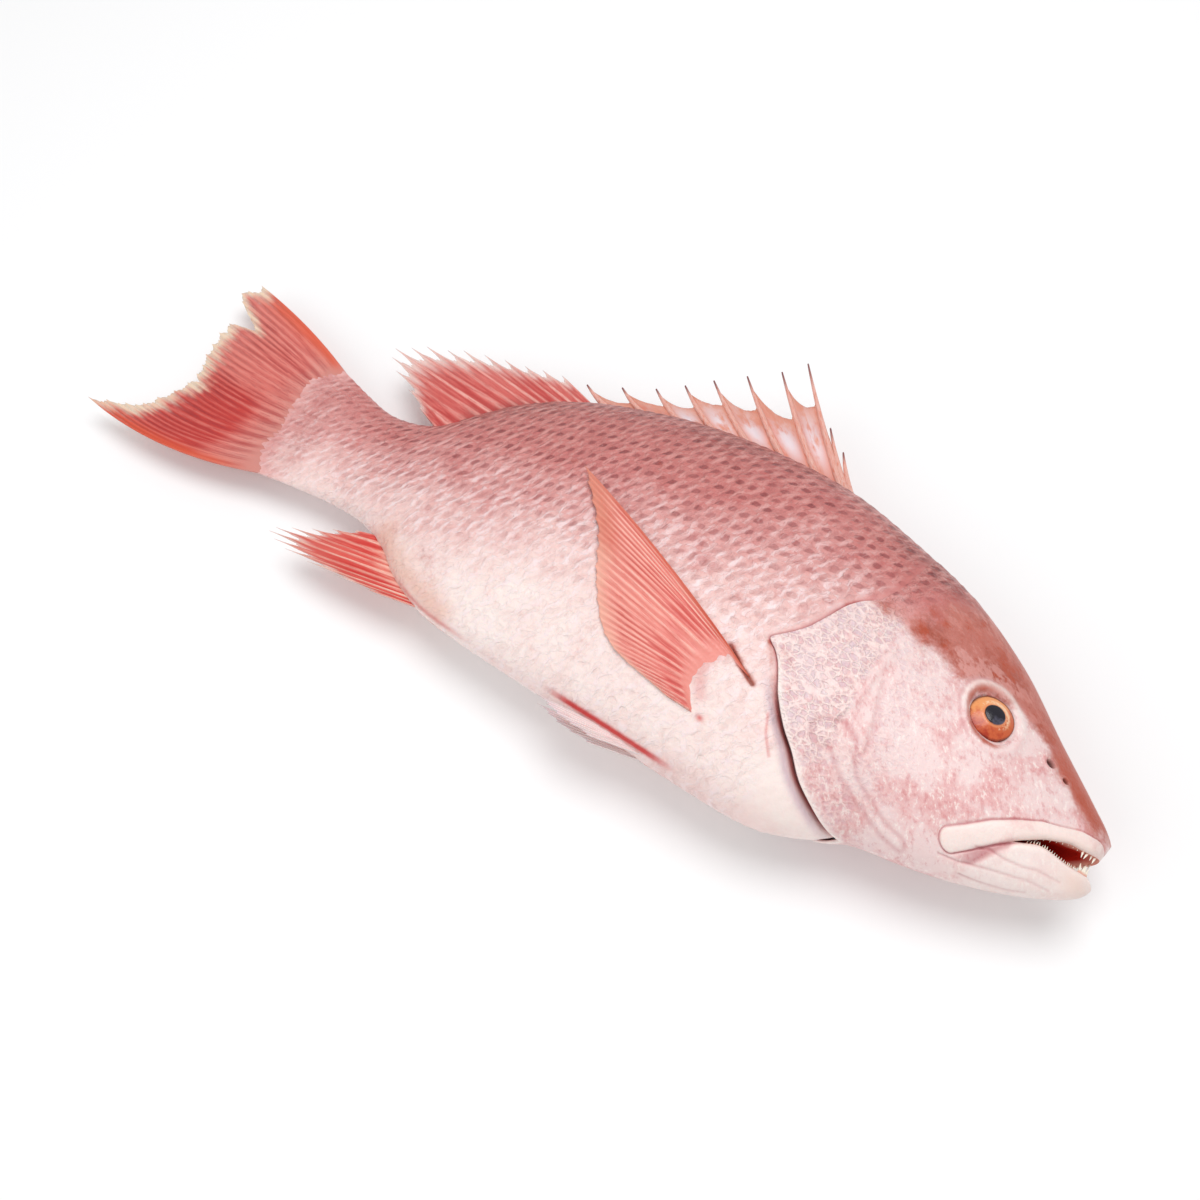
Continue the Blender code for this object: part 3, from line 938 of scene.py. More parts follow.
class Shell:
    """Vertices, faces and named values of a piece while it is being made."""

    def __init__(self) -> None:
        """Starts with nothing."""
        self.points: list[Array] = []
        self.faces: list[Array] = []
        self.values: list[Values] = []
        self.count = 0

    def grid(self, points: Array, values: Values, keep: Array | None = None,
             flip: bool = False, wrap: bool = False) -> Array:
        """Adds a sheet of four-sided faces.

        Args:
            points: Its vertices, as rows and columns of points.
            values: Named values for each vertex, a number or a vector each.
            keep: True for each face to make, where some are left out.
            flip: Turns the faces over.
            wrap: Joins the last column to the first.

        Returns:
            The number of each vertex.
        """
        rows, columns = points.shape[:2]
        index = np.arange(rows * columns).reshape(rows, columns) + self.count
        right = np.roll(index, -1, 1) if wrap else index[:, 1:]
        left = index if wrap else index[:, :-1]
        quads = np.stack([left[:-1], left[1:], right[1:], right[:-1]], -1)
        quads = quads[keep] if keep is not None else quads.reshape(-1, 4)
        self.faces.append(quads[:, ::-1] if flip else quads)
        self.points.append(points.reshape(-1, 3))
        flat = {}
        for name, value in values.items():
            shape = (-1, 3) if value.ndim == 3 else (-1,)
            flat[name] = value.reshape(shape)
        self.values.append(flat)
        self.count += rows * columns
        return index

    def quads(self, faces: Array) -> None:
        """Adds faces between vertices that are there already."""
        self.faces.append(np.asarray(faces).reshape(-1, 4))

    def all_values(self) -> Values:
        """Every named value over all vertices, zero where a sheet has none.

        Returns:
            The values by name.
        """
        shapes = {name: v.shape[1:] for values in self.values for name, v in values.items()}
        return {
            name: np.concatenate([
                values.get(name, np.zeros((len(points), *shape)))
                for values, points in zip(self.values, self.points)
            ])
            for name, shape in shapes.items()
        }

    def normals(self) -> Array:
        """A smooth normal for each vertex.

        Returns:
            Directions of length 1.
        """
        points, faces = np.concatenate(self.points), np.concatenate(self.faces)
        corner = points[faces]
        out = np.cross(corner[:, 2] - corner[:, 0], corner[:, 3] - corner[:, 1])
        total = np.zeros_like(points)
        for k in range(4):
            np.add.at(total, faces[:, k], out)
        return total / np.maximum(np.linalg.norm(total, axis=1, keepdims=True), 1e-12)

    def build(self, name: str, material: Material, slot: Slot,
              normals: Array | None = None, chosen: Array | None = None) -> bpy.types.Object:
        """Makes the piece and lets it ride on the body.

        Args:
            name: The piece's name.
            material: Its finish.
            slot: The record's slot for that finish; not used.
            normals: Shading normals, where the piece joins another without a seam.
            chosen: The faces to use, where the piece is only part of this shell.

        Returns:
            The piece.
        """
        points, faces = np.concatenate(self.points), np.concatenate(self.faces)
        values = self.all_values()
        if chosen is not None:
            used, renumbered = np.unique(faces[chosen], return_inverse=True)
            faces = renumbered.reshape(-1, 4)
            points = points[used]
            values = {key: v[used] for key, v in values.items()}
            normals = normals[used] if normals is not None else None
        mesh = bpy.data.meshes.new(name)
        mesh.vertices.add(len(points))
        mesh.vertices.foreach_set("co", points.astype(np.float32).ravel())
        mesh.loops.add(faces.size)
        mesh.loops.foreach_set("vertex_index", faces.astype(np.int32).ravel())
        mesh.polygons.add(len(faces))
        mesh.polygons.foreach_set("loop_start", np.arange(0, faces.size, 4, dtype=np.int32))
        for key, value in values.items():
            vector = value.ndim == 2
            stored = mesh.attributes.new(key, "FLOAT_VECTOR" if vector else "FLOAT", "POINT")
            stored.data.foreach_set("vector" if vector else "value", value.astype(np.float32).ravel())
        mesh.update(calc_edges=True)
        mesh.shade_smooth()
        if normals is not None:
            mesh.normals_split_custom_set_from_vertices(normals.tolist())
        mesh.materials.append(material)
        piece = bpy.data.objects.new(name, mesh)
        bpy.context.scene.collection.objects.link(piece)
        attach(piece, BODY)
        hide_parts(CAD_NODE)
        LOG.info("%s: %d faces", name, len(faces))
        return piece


@dataclass(frozen=True)
class ScaleLattice:
    """Where the scales sit: rows along the flank, each scale overlapping the next one towards the tail."""

    row_pitch: float = 0.0193
    pitch_ahead: float = 0.0162
    pitch_behind: float = 0.0118
    ahead: float = 0.30
    behind: float = 1.00
    relief: float = 0.00045

    def cell(self, s: Array, girth: Array) -> Array:
        """Which scale each place lies on.

        Args:
            s: Stations.
            girth: Girths.

        Returns:
            Vectors of the count of scales along the row, the count of rows, and zero.
        """
        slope = (self.pitch_behind - self.pitch_ahead) / (self.behind - self.ahead)
        pitch = np.maximum(self.pitch_ahead + slope * (s - self.ahead), 0.5 * self.pitch_behind)
        count = np.log(pitch / self.pitch_ahead) / slope
        row = girth / (self.row_pitch * (1 - 0.12 * ease(s, 0.5, 1.0)))
        shift = 0.06 + 0.34 * ease(s, 0.55, 0.95)
        return np.stack([count + shift * row, row, np.zeros_like(row)], -1)

    def height(self, cell: Array) -> Array:
        """Relief of the overlapping scales.

        Args:
            cell: Which scale each place lies on.

        Returns:
            Heights from 0 to 1.
        """
        p, q = cell[..., 0], cell[..., 1]
        p = p + 0.06 * value_noise(p * 0.7, q * 0.7, 3)
        wave = 0.20 * np.cos(2 * math.pi * q)
        ledge = np.mod(p + wave + 0.62, 1)
        ledge = ledge * (1 - ease(ledge, 0.80, 1.0))
        return ledge * (0.75 + 0.25 * np.cos(2 * math.pi * q))


@dataclass
class Skin:
    """Head and trunk: one skin with gill covers, eye sockets, lips and scales, made as four pieces."""

    shown_rows: int = 250
    resting_rows: int = 110
    head_columns: int = 300
    trunk_columns: int = 390
    lattice: ScaleLattice = ScaleLattice()
    gill_edge: Points = outline(
        (-185, 212), (-176, 222), (-163, 240), (-149, 260), (-134, 280), (-113, 300), (-98, 318), (-76, 338),
        (-60, 348), (-48, 356), (-40, 364), (-33, 374), (-24, 368), (-15, 360), (0, 349), (14, 342),
        (30, 335), (45, 329), (60, 320), (82, 302), (120, 290), (240, 278),
    )
    gill_top: float = 0.082
    cover_overlap: float = 0.030
    crease_depth: float = 0.0011
    slit_depth: float = 0.0058
    upper_lip: Points = outline(
        (-12, 16), (0, 10), (10, 4), (20, 0), (32, -4), (45, -12), (55, -19), (66, -29), (78, -41), (85, -50),
        (95, -63), (105, -76), (115, -88), (125, -96), (140, -103),
    )
    lower_lip: Points = outline(
        (-12, -10), (0, -14), (10, -18), (20, -21), (32, -22.5), (45, -23.5), (55, -26), (66, -33),
        (78, -41.8), (85, -50.8), (95, -63.8), (105, -76.8), (115, -88.8), (125, -96.8), (140, -103.8),
    )
    snout_tip: float = -0.0038
    mouth_corner: float = 0.079
    lip_radius: float = 0.0050
    jawbone: Points = outline(
        (6, 12), (24, 7), (42, -4), (60, -14), (80, -31), (100, -51), (118, -73), (132, -89),
    )
    jawbone_widths: Points = ((0.0, 0.0095), (0.35, 0.0085), (0.7, 0.0098), (1.0, 0.0108))
    nape_line: Points = outline(
        (60, 330), (78, 310), (95, 285), (125, 268), (155, 244), (170, 230), (220, 215),
    )
    tone_lines: tuple[tuple[float, Points], ...] = (
        (0.05, outline((200, -130), (500, -125), (600, -105), (700, -125), (900, -110), (1030, -150))),
        (0.25, outline(
            (200, -40), (400, -40), (500, -58), (600, -52), (700, -74), (800, -74), (900, -60), (1000, -100),
        )),
        (0.50, outline(
            (200, 45), (340, 76), (400, 62), (500, 29), (600, 0), (700, -14), (800, -21), (900, -5),
            (1000, -22),
        )),
        (0.75, outline(
            (200, 80), (340, 133), (400, 119), (500, 90), (600, 76), (700, 60), (800, 48), (900, 29),
            (1000, 57),
        )),
        (1.00, outline(
            (200, 150), (340, 190), (400, 200), (500, 195), (600, 195), (700, 160), (800, 95), (900, 100),
            (1000, 120),
        )),
    )
    tail_join: Points = outline(
        (-92, 992), (-75, 999), (-50, 1013), (-28, 1012), (-4, 1016), (22, 1021), (44, 1024), (66, 1006),
        (90, 990),
    )
    fin_root: float = 0.0006
    brow_line: Points = outline(
        (-10, 40), (0, 36), (21, 32), (51, 43), (60, 47), (74, 53), (84, 62), (96, 70), (111, 72), (140, 68),
        (170, 64), (181, 58), (190, 53), (215, 50), (235, 54), (262, 60), (280, 69), (310, 72), (330, 80),
    )
    iris_radius: float = 0.0250
    fin_slit: Points = outline((404, -63.5), (394, -69.5), (382, -76.5), (366, -83))
    fin_band: Points = outline((370, -40), (359, -56), (345, -82))
    vent_line: Points = outline((700, -160), (760, -135), (800, -108), (812, -95))
    scratch: Points = outline((338, -97), (330, -114), (317, -130))
    fin_root_line: Points = outline((404, -68), (414, -82), (417, -102), (405, -122))
    plate_ridge: Points = outline((267, 24), (270, 0), (271, -20), (274, -40), (279, -56), (282, -72))
    plate_front: Points = outline((257, -6), (252, -24), (246, -44), (243, -60), (239, -80))
    knob_line: Points = outline(
        (281, -80), (272, -77), (263, -80), (257, -89), (247, -102), (235, -112), (220, -120), (205, -127),
        (190, -130), (172, -130),
    )
    smooth_plate: Points = outline((262, 10), (264, -20), (260, -45), (258, -66))
    jaw_folds: tuple[Points, ...] = (
        outline((108, -74), (95, -66), (80, -62), (62, -55), (48, -47), (25, -41)),
        outline((135, -107), (115, -98), (90, -82), (70, -71), (50, -61), (30, -55)),
        outline((110, -108), (90, -99), (65, -86), (48, -74)),
    )
    throat: tuple[float, float] = (0.115, -0.062)
    lining_layers: int = 26
    cover_turn: Points = ((0.0, 0.0), (-0.0003, 0.0006), (0.0, 0.0012), (0.002, 0.0018), (0.006, 0.0022))
    nostrils: tuple[tuple[float, float, float], ...] = ((0.083, 0.051, 0.0046), (0.063, 0.048, 0.0030))

    def rows(self) -> tuple[Array, Array]:
        """Angle and side of each row, once round the body from the back.

        Returns:
            The angles, and 1 or -1 for the flank.
        """
        shown = self.spread_angles(self.shown_rows)
        resting = self.spread_angles(self.resting_rows)[1:-1]
        lip = self.lip_row()
        match = int(np.argmin(np.abs(resting - shown[lip])))
        resting[match], resting[match + 1] = shown[lip], shown[lip + 1]
        sides = np.concatenate([np.ones(len(shown)), -np.ones(len(resting))])
        return np.concatenate([shown, resting[::-1]]), sides

    def spread_angles(self, count: int) -> Array:
        """Angles from the back to the belly, evenly spread along a typical section.

        Args:
            count: How many of them.

        Returns:
            The angles.
        """
        dense = np.linspace(math.pi / 2, -math.pi / 2, 2001)
        steps = np.hypot(np.diff(np.sin(dense)) * 2.4, np.diff(np.cos(dense)))
        way = np.concatenate([[0], np.cumsum(steps)]) / steps.sum()
        return np.interp(np.linspace(0, 1, count), way, dense)

    def edge_station(self, phi: Array) -> Array:
        """Station of the gill cover's rear edge, or above it of the nape, on rows at these angles.

        Args:
            phi: The rows' angles.

        Returns:
            Stations.
        """
        girths = np.linspace(-0.185, 0.24, 900)
        stations = curve_at(self.gill_edge, girths)
        angles = FORM.angle(stations, girths)
        order = np.argsort(angles)
        return np.interp(phi, angles[order], stations[order])

    def open_share(self, girth: Array) -> Array:
        """How far the gill slit gapes: 0 over the gill cover, 0 to 1 down its rear edge."""
        return ease(-girth, 0.050, 0.095) * (1 - 0.8 * ease(-girth, 0.155, 0.182))

    def lip_row(self) -> int:
        """The row of the upper lip's edge, on the shown flank."""
        return int(np.argmin(np.abs(self.spread_angles(self.shown_rows) - math.radians(-52))))

    def head_angles(self, s: Array, base: Array) -> Array:
        """Bends the head's rows so that two of them follow the lips.

        Args:
            s: Station of each vertex.
            base: The angle of each vertex's row at the gill.

        Returns:
            The angle of each vertex.
        """
        stations = np.linspace(FORM.bow, 0.40, 400)
        end = self.upper_lip[-1][0]
        upper = FORM.angle(stations, curve_at(self.upper_lip, stations))
        lower = FORM.angle(stations, curve_at(self.lower_lip, stations))
        held = FORM.angle(np.array([end]), np.array([self.upper_lip[-1][1]]))[0]
        shown = self.spread_angles(self.shown_rows)
        row = self.lip_row()
        top, bottom = shown[row], shown[row + 1]
        late = ease(stations, end, end + 0.06)
        upper = np.where(stations > end, held + (top - held) * late, upper)
        lower = np.where(stations > end, held - 0.006 + (bottom - held + 0.006) * late, lower)
        upper, lower = np.interp(s, stations, upper), np.interp(s, stations, lower)
        half = math.pi / 2
        over = half - (half - base) * (half - upper) / (half - top)
        under = -half + (base + half) * (lower + half) / (bottom + half)
        return np.where(base >= top - 1e-9, over, under)

    def bow_stations(self) -> Array:
        """Station at which each row of the head begins, so that both jaws have round tips.

        Returns:
            Stations.
        """
        base, _ = self.rows()
        top, bottom = base[self.lip_row()], base[self.lip_row() + 1]
        half = math.pi / 2
        over = np.clip((half - base) / (half - top), 0, 1)
        under = np.clip((base + half) / (bottom + half), 0, 1)
        upper_jaw = self.snout_tip + 0.0035 * over**3
        lower_jaw = FORM.bow + 0.006 + 0.006 * under**6 + 0.014 * (1 - under) ** 3
        return np.where(base >= top - 1e-9, upper_jaw, lower_jaw)

    def head_grid(self) -> tuple[Array, Array, Array]:
        """Station, angle and side of every vertex of the head.

        Returns:
            The three, as rows and columns.
        """
        base, sides = self.rows()
        t = np.linspace(0, 1, self.head_columns)[:, None]
        t = 0.55 * t + 0.45 * t * t
        end = self.edge_station(base)[None, :]
        start = self.bow_stations()[None, :]
        s = start + (end - start) * t
        base = np.broadcast_to(base, s.shape)
        return s, self.head_angles(s, base), np.broadcast_to(sides, s.shape)

    def tone(self, s: Array, girth: Array) -> Array:
        """Tone of the skin, from 0 on the belly to 1 along the back.

        Args:
            s: Stations.
            girth: Girths.

        Returns:
            Tones.
        """
        lines = [curve_at(line, s) for _, line in self.tone_lines]
        levels = [level for level, _ in self.tone_lines]
        tone = np.full_like(s, levels[0])
        for k in range(len(lines) - 1):
            t = np.clip((girth - lines[k]) / (lines[k + 1] - lines[k]), 0, 1)
            tone = tone + (levels[k + 1] - levels[k]) * t
        return tone + 0.14 * ease(-girth, 0.17, 0.22)

    def scale_fields(self, s: Array, girth: Array) -> Values:
        """Values that colour the skin: its tone from belly to back, and how strongly scales show.

        Args:
            s: Stations.
            girth: Girths.

        Returns:
            The named values.
        """
        nape_line = curve_at(self.nape_line, girth)
        return {
            "tone": self.tone(s, girth),
            "lattice": self.lattice.cell(s, girth),
            "scaled": ease(s - nape_line, -0.030, 0.010) * (0.75 + 0.25 * ease(girth, -0.12, 0.0)),
        }

    def trunk(self, shell: Shell) -> Array:
        """Adds the trunk.

        Args:
            shell: The skin.

        Returns:
            The number of each of its vertices.
        """
        base, sides = self.rows()
        edge = self.edge_station(base)
        edge_girth = FORM.girth(edge, base)
        covered = ease(self.gill_top - edge_girth, 0.0, 0.02)
        start = edge - self.cover_overlap * covered
        t = np.linspace(0, 1, self.trunk_columns)[:, None]
        end_height = FORM.section(1.01)[0] + np.where(base > 0, 0.083, 0.082) * np.sin(base)
        end = curve_at(self.tail_join, end_height)
        end = end + 0.0045 * value_noise(end_height * 420, 5.0 * sides, 8) * (0.4 + 0.6 * np.cos(base))
        s = start + (end - start) * t
        phi = np.broadcast_to(base, s.shape)
        side = np.broadcast_to(sides, s.shape)
        girth = FORM.girth(s, phi)
        past = (s - edge) * LENGTH
        opening = self.open_share(edge_girth)
        depth = self.crease_depth + (self.slit_depth - self.crease_depth) * opening
        width = 0.0018 + 0.0030 * opening
        sunk = np.where(past < 0, 1 + 0.3 * np.minimum(-past / 0.01, 1), np.exp(-np.maximum(past, 0) / width))
        fields = self.scale_fields(s, girth)
        quiet = ease(past, 0.0, 0.006) * (1 - ease(s - end, -0.030, 0.0))
        low = 0.80 + 0.20 * ease(girth, -0.16, 0.0)
        height = self.lattice.relief * quiet * low * self.lattice.height(fields["lattice"])
        height -= depth * sunk * covered
        # Scales and tone fade by the gill cover, at the tail fin's root and along the stalk.
        stalk = ease(s, 0.86, 0.95)
        fields["scaled"] *= 0.25 + 0.75 * ease(past, 0.001, 0.006)
        fields["scaled"] *= 1 - 0.7 * ease(s - end, -0.012, 0.0)
        fields["tone"] += (0.56 - fields["tone"]) * ease(s - end, -0.040, 0.0)
        fields["scaled"] *= 1 - 0.35 * stalk
        fields["tone"] -= 0.10 * stalk
        # The slit over the pectoral fin's root, and the seam and gap behind the gill cover, with painted
        # shade in the slit, along the seam and in the gap.
        shut = covered * (1 - opening)
        slit, _ = nearest(self.fin_slit, s, girth)
        height -= 0.0012 * bell(slit, 0.0020)
        shadow = 0.50 * bell(slit, 0.0018)
        seam = 0.35 * shut * bell(past, 0.0006)
        gap = covered * opening * (1 - ease(past, -0.0010, 0.0008))
        band, _ = nearest(self.fin_band, s, girth)
        top_seam = shut * bell(past - 0.0006, 0.0016) * ease(girth, 0.02, 0.06)
        knot = bell(np.hypot(s - 0.373, girth + 0.036), 0.0032)
        rust = 0.95 * bell(slit, 0.0044) + 0.35 * bell(band, 0.0036) + 0.7 * top_seam + 0.9 * knot
        vent, _ = nearest(self.vent_line, s, girth)
        fields |= {
            # Painted shade in the fold just behind the shut gill cover's edge.
            "crease": shut * bell(past - 0.0003, 0.0011) * 0.9, "tan": 0.45 * bell(vent, 0.016),
            "blood": covered * opening * bell(past - 0.0014, 0.0016) * 0.8 + self.blood_spots(s, girth),
            # Painted shade in the gill gap, the slit over the pectoral fin and the shut cover's seam.
            "dark": np.clip(gap + shadow + seam, 0, 1), "rust": np.clip(rust, 0, 1),
            "ash": 0.75 * covered * opening * bell(past - 0.0050, 0.0024),
        }
        # The stalk thins to a blade where the tail fin grows out of it.
        points = FORM.raised(s, phi, side, height)
        middle = FORM.middle(s)
        thin = ease(s - end, -0.065, 0.0)
        rise = np.abs(points[..., 2] - middle)
        squeezed = rise * (1 - thin) + np.minimum(rise, self.fin_root) * thin
        points[..., 2] = middle + np.sign(points[..., 2] - middle) * squeezed
        return shell.grid(FORM.settle(points), fields, wrap=True)

    def blood_spots(self, s: Array, girth: Array) -> Array:
        """Red tint under the pectoral fin's root and along the vent.

        Args:
            s: Stations.
            girth: Girths.

        Returns:
            Shares of blood red.
        """
        spot = bell(np.hypot(s - 0.394, (girth + 0.141) * 1.4), 0.0042) * 0.8
        keel = FORM.girth(s, np.full_like(s, -1.43))
        vent = bell(girth - keel, 0.0035) * ease(s, 0.64, 0.70) * (1 - ease(s, 0.74, 0.78))
        hip = np.minimum(1.7 * bell(girth - keel - 0.003, 0.0036), 1)
        hip *= ease(s, 0.385, 0.430) * (1 - ease(s, 0.520, 0.560))
        scratch, _ = nearest(self.scratch, s, girth)
        root, _ = nearest(self.fin_root_line, s, girth)
        tint = 0.36 * bell(root, 0.0075)
        return np.clip(tint + spot + 0.55 * vent + 0.95 * hip + 0.5 * bell(scratch, 0.0014), 0, 0.97)

    def head_relief(self, s: Array, girth: Array) -> tuple[Array, Values]:
        """Bones and creases of the head.

        Args:
            s: Stations.
            girth: Girths.

        Returns:
            The height over the bare form in metres, and the named values that colour the skin.
        """
        height = np.zeros_like(s)
        # The upper jaw's bone, a flat welt with a groove round it.
        gap, share = nearest(self.jawbone, s, girth)
        inside = gap / curve_at(self.jawbone_widths, share)
        height += 0.0011 * np.sqrt(np.clip(1 - inside**2, 0, 1)) - 0.0006 * bell(inside - 1.06, 0.10)
        rim_line = bell(inside - 1.05, 0.075) * ease(s, 0.02, 0.09)
        lip = ease(1 - inside, -0.05, 0.10)
        # Edges of the gill cover's plates.
        ridge, _ = nearest(self.plate_ridge, s, girth)
        height += 0.0006 * bell(ridge, 0.006) - 0.0005 * bell(ridge - 0.006, 0.004) * (s > 0.272)
        front, _ = nearest(self.plate_front, s, girth)
        height -= 0.0004 * bell(front, 0.003)
        knob, knob_share = nearest(self.knob_line, s, girth)
        knob_width = 0.0085 - 0.0045 * ease(knob_share, 0.1, 0.6)
        swell = bell(knob, knob_width)
        height += 0.00022 * swell
        height -= 0.0002 * bell(knob - 1.6 * knob_width, 0.003)
        # Folds under the lower jaw.
        folds = np.zeros_like(s)
        for fold in self.jaw_folds:
            away, way = nearest(fold, s, girth)
            folds = np.maximum(folds, bell(away, 0.0012) * (1 - 0.5 * way))
        height -= 0.0005 * folds
        # The eye's socket and lids, and the nostrils.
        away_s, away_g = s - EYE_STATION, girth - EYE_GIRTH
        eye_gap = np.hypot(away_s, away_g) / self.iris_radius
        height += 0.0009 * bell(eye_gap - 1.32, 0.22) - 0.0010 * (1 - ease(eye_gap, 1.0, 1.10))
        height -= 0.0030 * (1 - ease(eye_gap, 0.75, 0.98))
        pits = np.zeros_like(s)
        for at, up, size in self.nostrils:
            hole = np.hypot((s - at) * 0.85, girth - up) / size
            pits = np.maximum(pits, 1 - ease(hole, 0.55, 1.0))
            height += 0.0004 * bell(hole - 1.4, 0.35)
        height -= 0.0022 * pits
        across = np.maximum(np.hypot(away_s, away_g), 1e-6)
        lid = bell(eye_gap - 1.38, 0.18) * ease((0.5 * away_s + 0.85 * away_g) / across, -0.5, 0.5)
        ring = bell(eye_gap - 1.14, 0.15) * ease((0.7 * away_s - 0.7 * away_g) / across, -0.7, 0.3)
        pink = bell(eye_gap - 1.52, 0.09) * ease(away_s, 0.0, 0.02)
        # The rusty brow, and the plates' own pattern.
        brow_line = curve_at(self.brow_line, s)
        nape_line = curve_at(self.nape_line, girth)
        brow = ease(girth - brow_line, -0.026, 0.022) * (1 - 0.9 * ease(s - nape_line, -0.080, 0.025))
        crown = ease(girth - brow_line, 0.020, 0.060)
        rust = brow * (0.90 * bell(np.maximum(s - 0.050, 0), 0.070) + 0.12 + 0.35 * crown)
        # Painted shade in the grooves round the jawbone, along the folds, the plates' edges and the knob, and
        # round the lid behind the eye.
        crease = rim_line + 0.5 * folds + 0.25 * bell(front, 0.003)
        crease = crease + 0.35 * bell(knob - 1.7 * knob_width, 0.003) + 0.5 * pink
        smooth, _ = nearest(self.smooth_plate, s, girth)
        plates = np.maximum(ease(s, 0.266, 0.276) * ease(girth, -0.13, -0.10), 0.45 * ease(s, 0.16, 0.24))
        plates = plates * (1 - ease(0.016 - smooth, 0.0, 0.008))
        values = {
            "brow": brow, "cheek": ease(brow_line - girth, -0.010, 0.004),
            "crease": np.clip(crease, 0, 1), "plates": plates, "lip": lip * 0.85,
            "rust": np.clip(rust + 0.8 * ring, 0, 1), "rim": np.clip(0.55 * lid + 0.20 * swell, 0, 0.9),
            # Painted shade in the nostrils' pits.
            "blood": np.zeros_like(s), "dark": pits * 0.95,
        }
        return height, values

    def head(self, shell: Shell) -> tuple[Array, Array]:
        """Adds the head, open at the mouth, with its gill covers turned in at their rear edge.

        Args:
            shell: The skin.

        Returns:
            The number of each vertex, and each vertex's point.
        """
        s, phi, side = self.head_grid()
        girth = FORM.girth(s, phi)
        height, fields = self.head_relief(s, girth)
        base = self.scale_fields(s, girth)
        # Way from each vertex to its jaw's edge, which is rolled in where the mouth gapes.
        row = self.lip_row()
        mirrored = self.mirror_row(row)
        upper, lower = girth[:, row:row + 1], girth[:, row + 1:row + 2]
        upper_rest, lower_rest = girth[:, mirrored:mirrored + 1], girth[:, mirrored - 1:mirrored]
        over = np.where(side > 0, girth - upper, girth - upper_rest)
        under = np.where(side > 0, lower - girth, lower_rest - girth)
        gape = 1 - ease(s, self.mouth_corner - 0.004, self.mouth_corner + 0.006)
        radius = self.lip_radius
        above, below = over > -1e-9, under > -1e-9
        edge = np.where(above, over, np.where(below, under, 0))
        tuck = radius - np.sqrt(np.maximum(radius**2 - np.maximum(radius - edge, 0) ** 2, 0))
        height -= tuck * LENGTH * gape * 0.9
        # Painted shade and a groove along the shut lips behind the mouth's corner.
        line = bell(edge, 0.0016) * (1 - gape) * (1 - ease(s, 0.100, 0.124)) * (s > 0.05)
        height -= 0.0008 * line
        fields["crease"] = np.clip(fields["crease"] + 0.8 * line, 0, 1)
        lower_lip = bell(under, 0.006) * below * gape
        fields["lip"] = np.clip(fields["lip"] + 0.7 * lower_lip, 0, 1)
        fields["rim"] = np.maximum(fields["rim"], 0.72 * below * (1 - ease(s, 0.07, 0.15)))
        # The gill cover's free edge, whitish and slightly raised.
        angles = self.rows()[0]
        end = self.edge_station(angles)[None, :]
        past = (end - s) * LENGTH
        edge_girth = FORM.girth(end, angles[None, :])
        covered = ease(self.gill_top - edge_girth, 0.0, 0.02)
        opening = ease(-edge_girth, 0.030, 0.050)
        fields["rim"] = np.maximum(fields["rim"], 0.85 * covered * opening * bell(past, 0.0022))
        height += 0.0006 * covered * bell(past - 0.003, 0.004)
        height += 0.00015 * fields["plates"] * value_noise(s * 260, girth * 260, 5)
        height *= ease(s - s[:1], -0.001, 0.009)
        # Rust at the mouth's corner, and tan on the lips.
        corner = bell(edge, 0.0035) * bell(s - 0.086, 0.014)
        fields["rust"] = np.clip(fields["rust"] + 0.5 * corner, 0, 1)
        tip = bell(np.hypot(s - 0.012, girth + 0.030), 0.016) * below
        fields["tan"] = np.clip(tip + 0.80 * bell(over, 0.0055) * gape * above, 0, 1)
        base["scaled"] *= 1 - fields["cheek"]
        fields.update(base)
        height += self.lattice.relief * base["scaled"] * self.lattice.height(base["lattice"])
        points = FORM.rounded(FORM.raised(s, phi, side, height), s, s[:1])
        points = FORM.settle(points)
        # No faces between the lips.
        keep = np.ones((s.shape[0] - 1, s.shape[1]), bool)
        open_rows = s[:-1, row] < self.mouth_corner
        keep[open_rows, row] = False
        keep[open_rows, mirrored - 1] = False
        index = shell.grid(points, fields, keep=keep, wrap=True)
        self.turn_in_covers(shell, index, points, s, covered)
        return index, points

    def mirror_row(self, row: int) -> int:
        """The resting flank's row nearest to a row of the shown one."""
        angles, sides = self.rows()
        return int(np.argmin(np.where(sides < 0, np.abs(angles - angles[row]), np.inf)))

    def turn_in_covers(self, shell: Shell, index: Array, points: Array, s: Array, covered: Array) -> None:
        """Rounds the gill covers' rear edge and leads it in under them.

        Args:
            shell: The skin.
            index: The head's vertex numbers; not used.
            points: The head's points.
            s: The head's stations.
            covered: For each row, 1 where the gill cover is free.
        """
        base, sides = self.rows()
        rim = points[-1]
        inward = -FORM.normal(s[-1], base, sides)
        forward = points[-4] - rim
        forward /= np.maximum(np.linalg.norm(forward, axis=1, keepdims=True), 1e-9)
        share = covered.reshape(-1, 1)
        layers = [rim + share * (forward * ahead + inward * deep) for ahead, deep in self.cover_turn]
        grid = FORM.settle(np.stack(layers))
        free = covered.reshape(1, -1) > 0.02
        keep = np.repeat(free & np.roll(free, -1, 1), len(layers) - 1, 0)
        # Painted shade, deeper the further each layer lies in under the cover.
        dark = np.array([0.0, 0.1, 0.5, 0.9, 1.0])[:, None] * np.ones((1, len(base)))
        values = {
            "rim": 0.8 * (1 - dark), "blood": 0.5 * dark, "dark": ease(dark, 0.4, 1.0),
            "cheek": np.ones_like(dark),
        }
        shell.grid(grid, values, keep=keep, wrap=True)

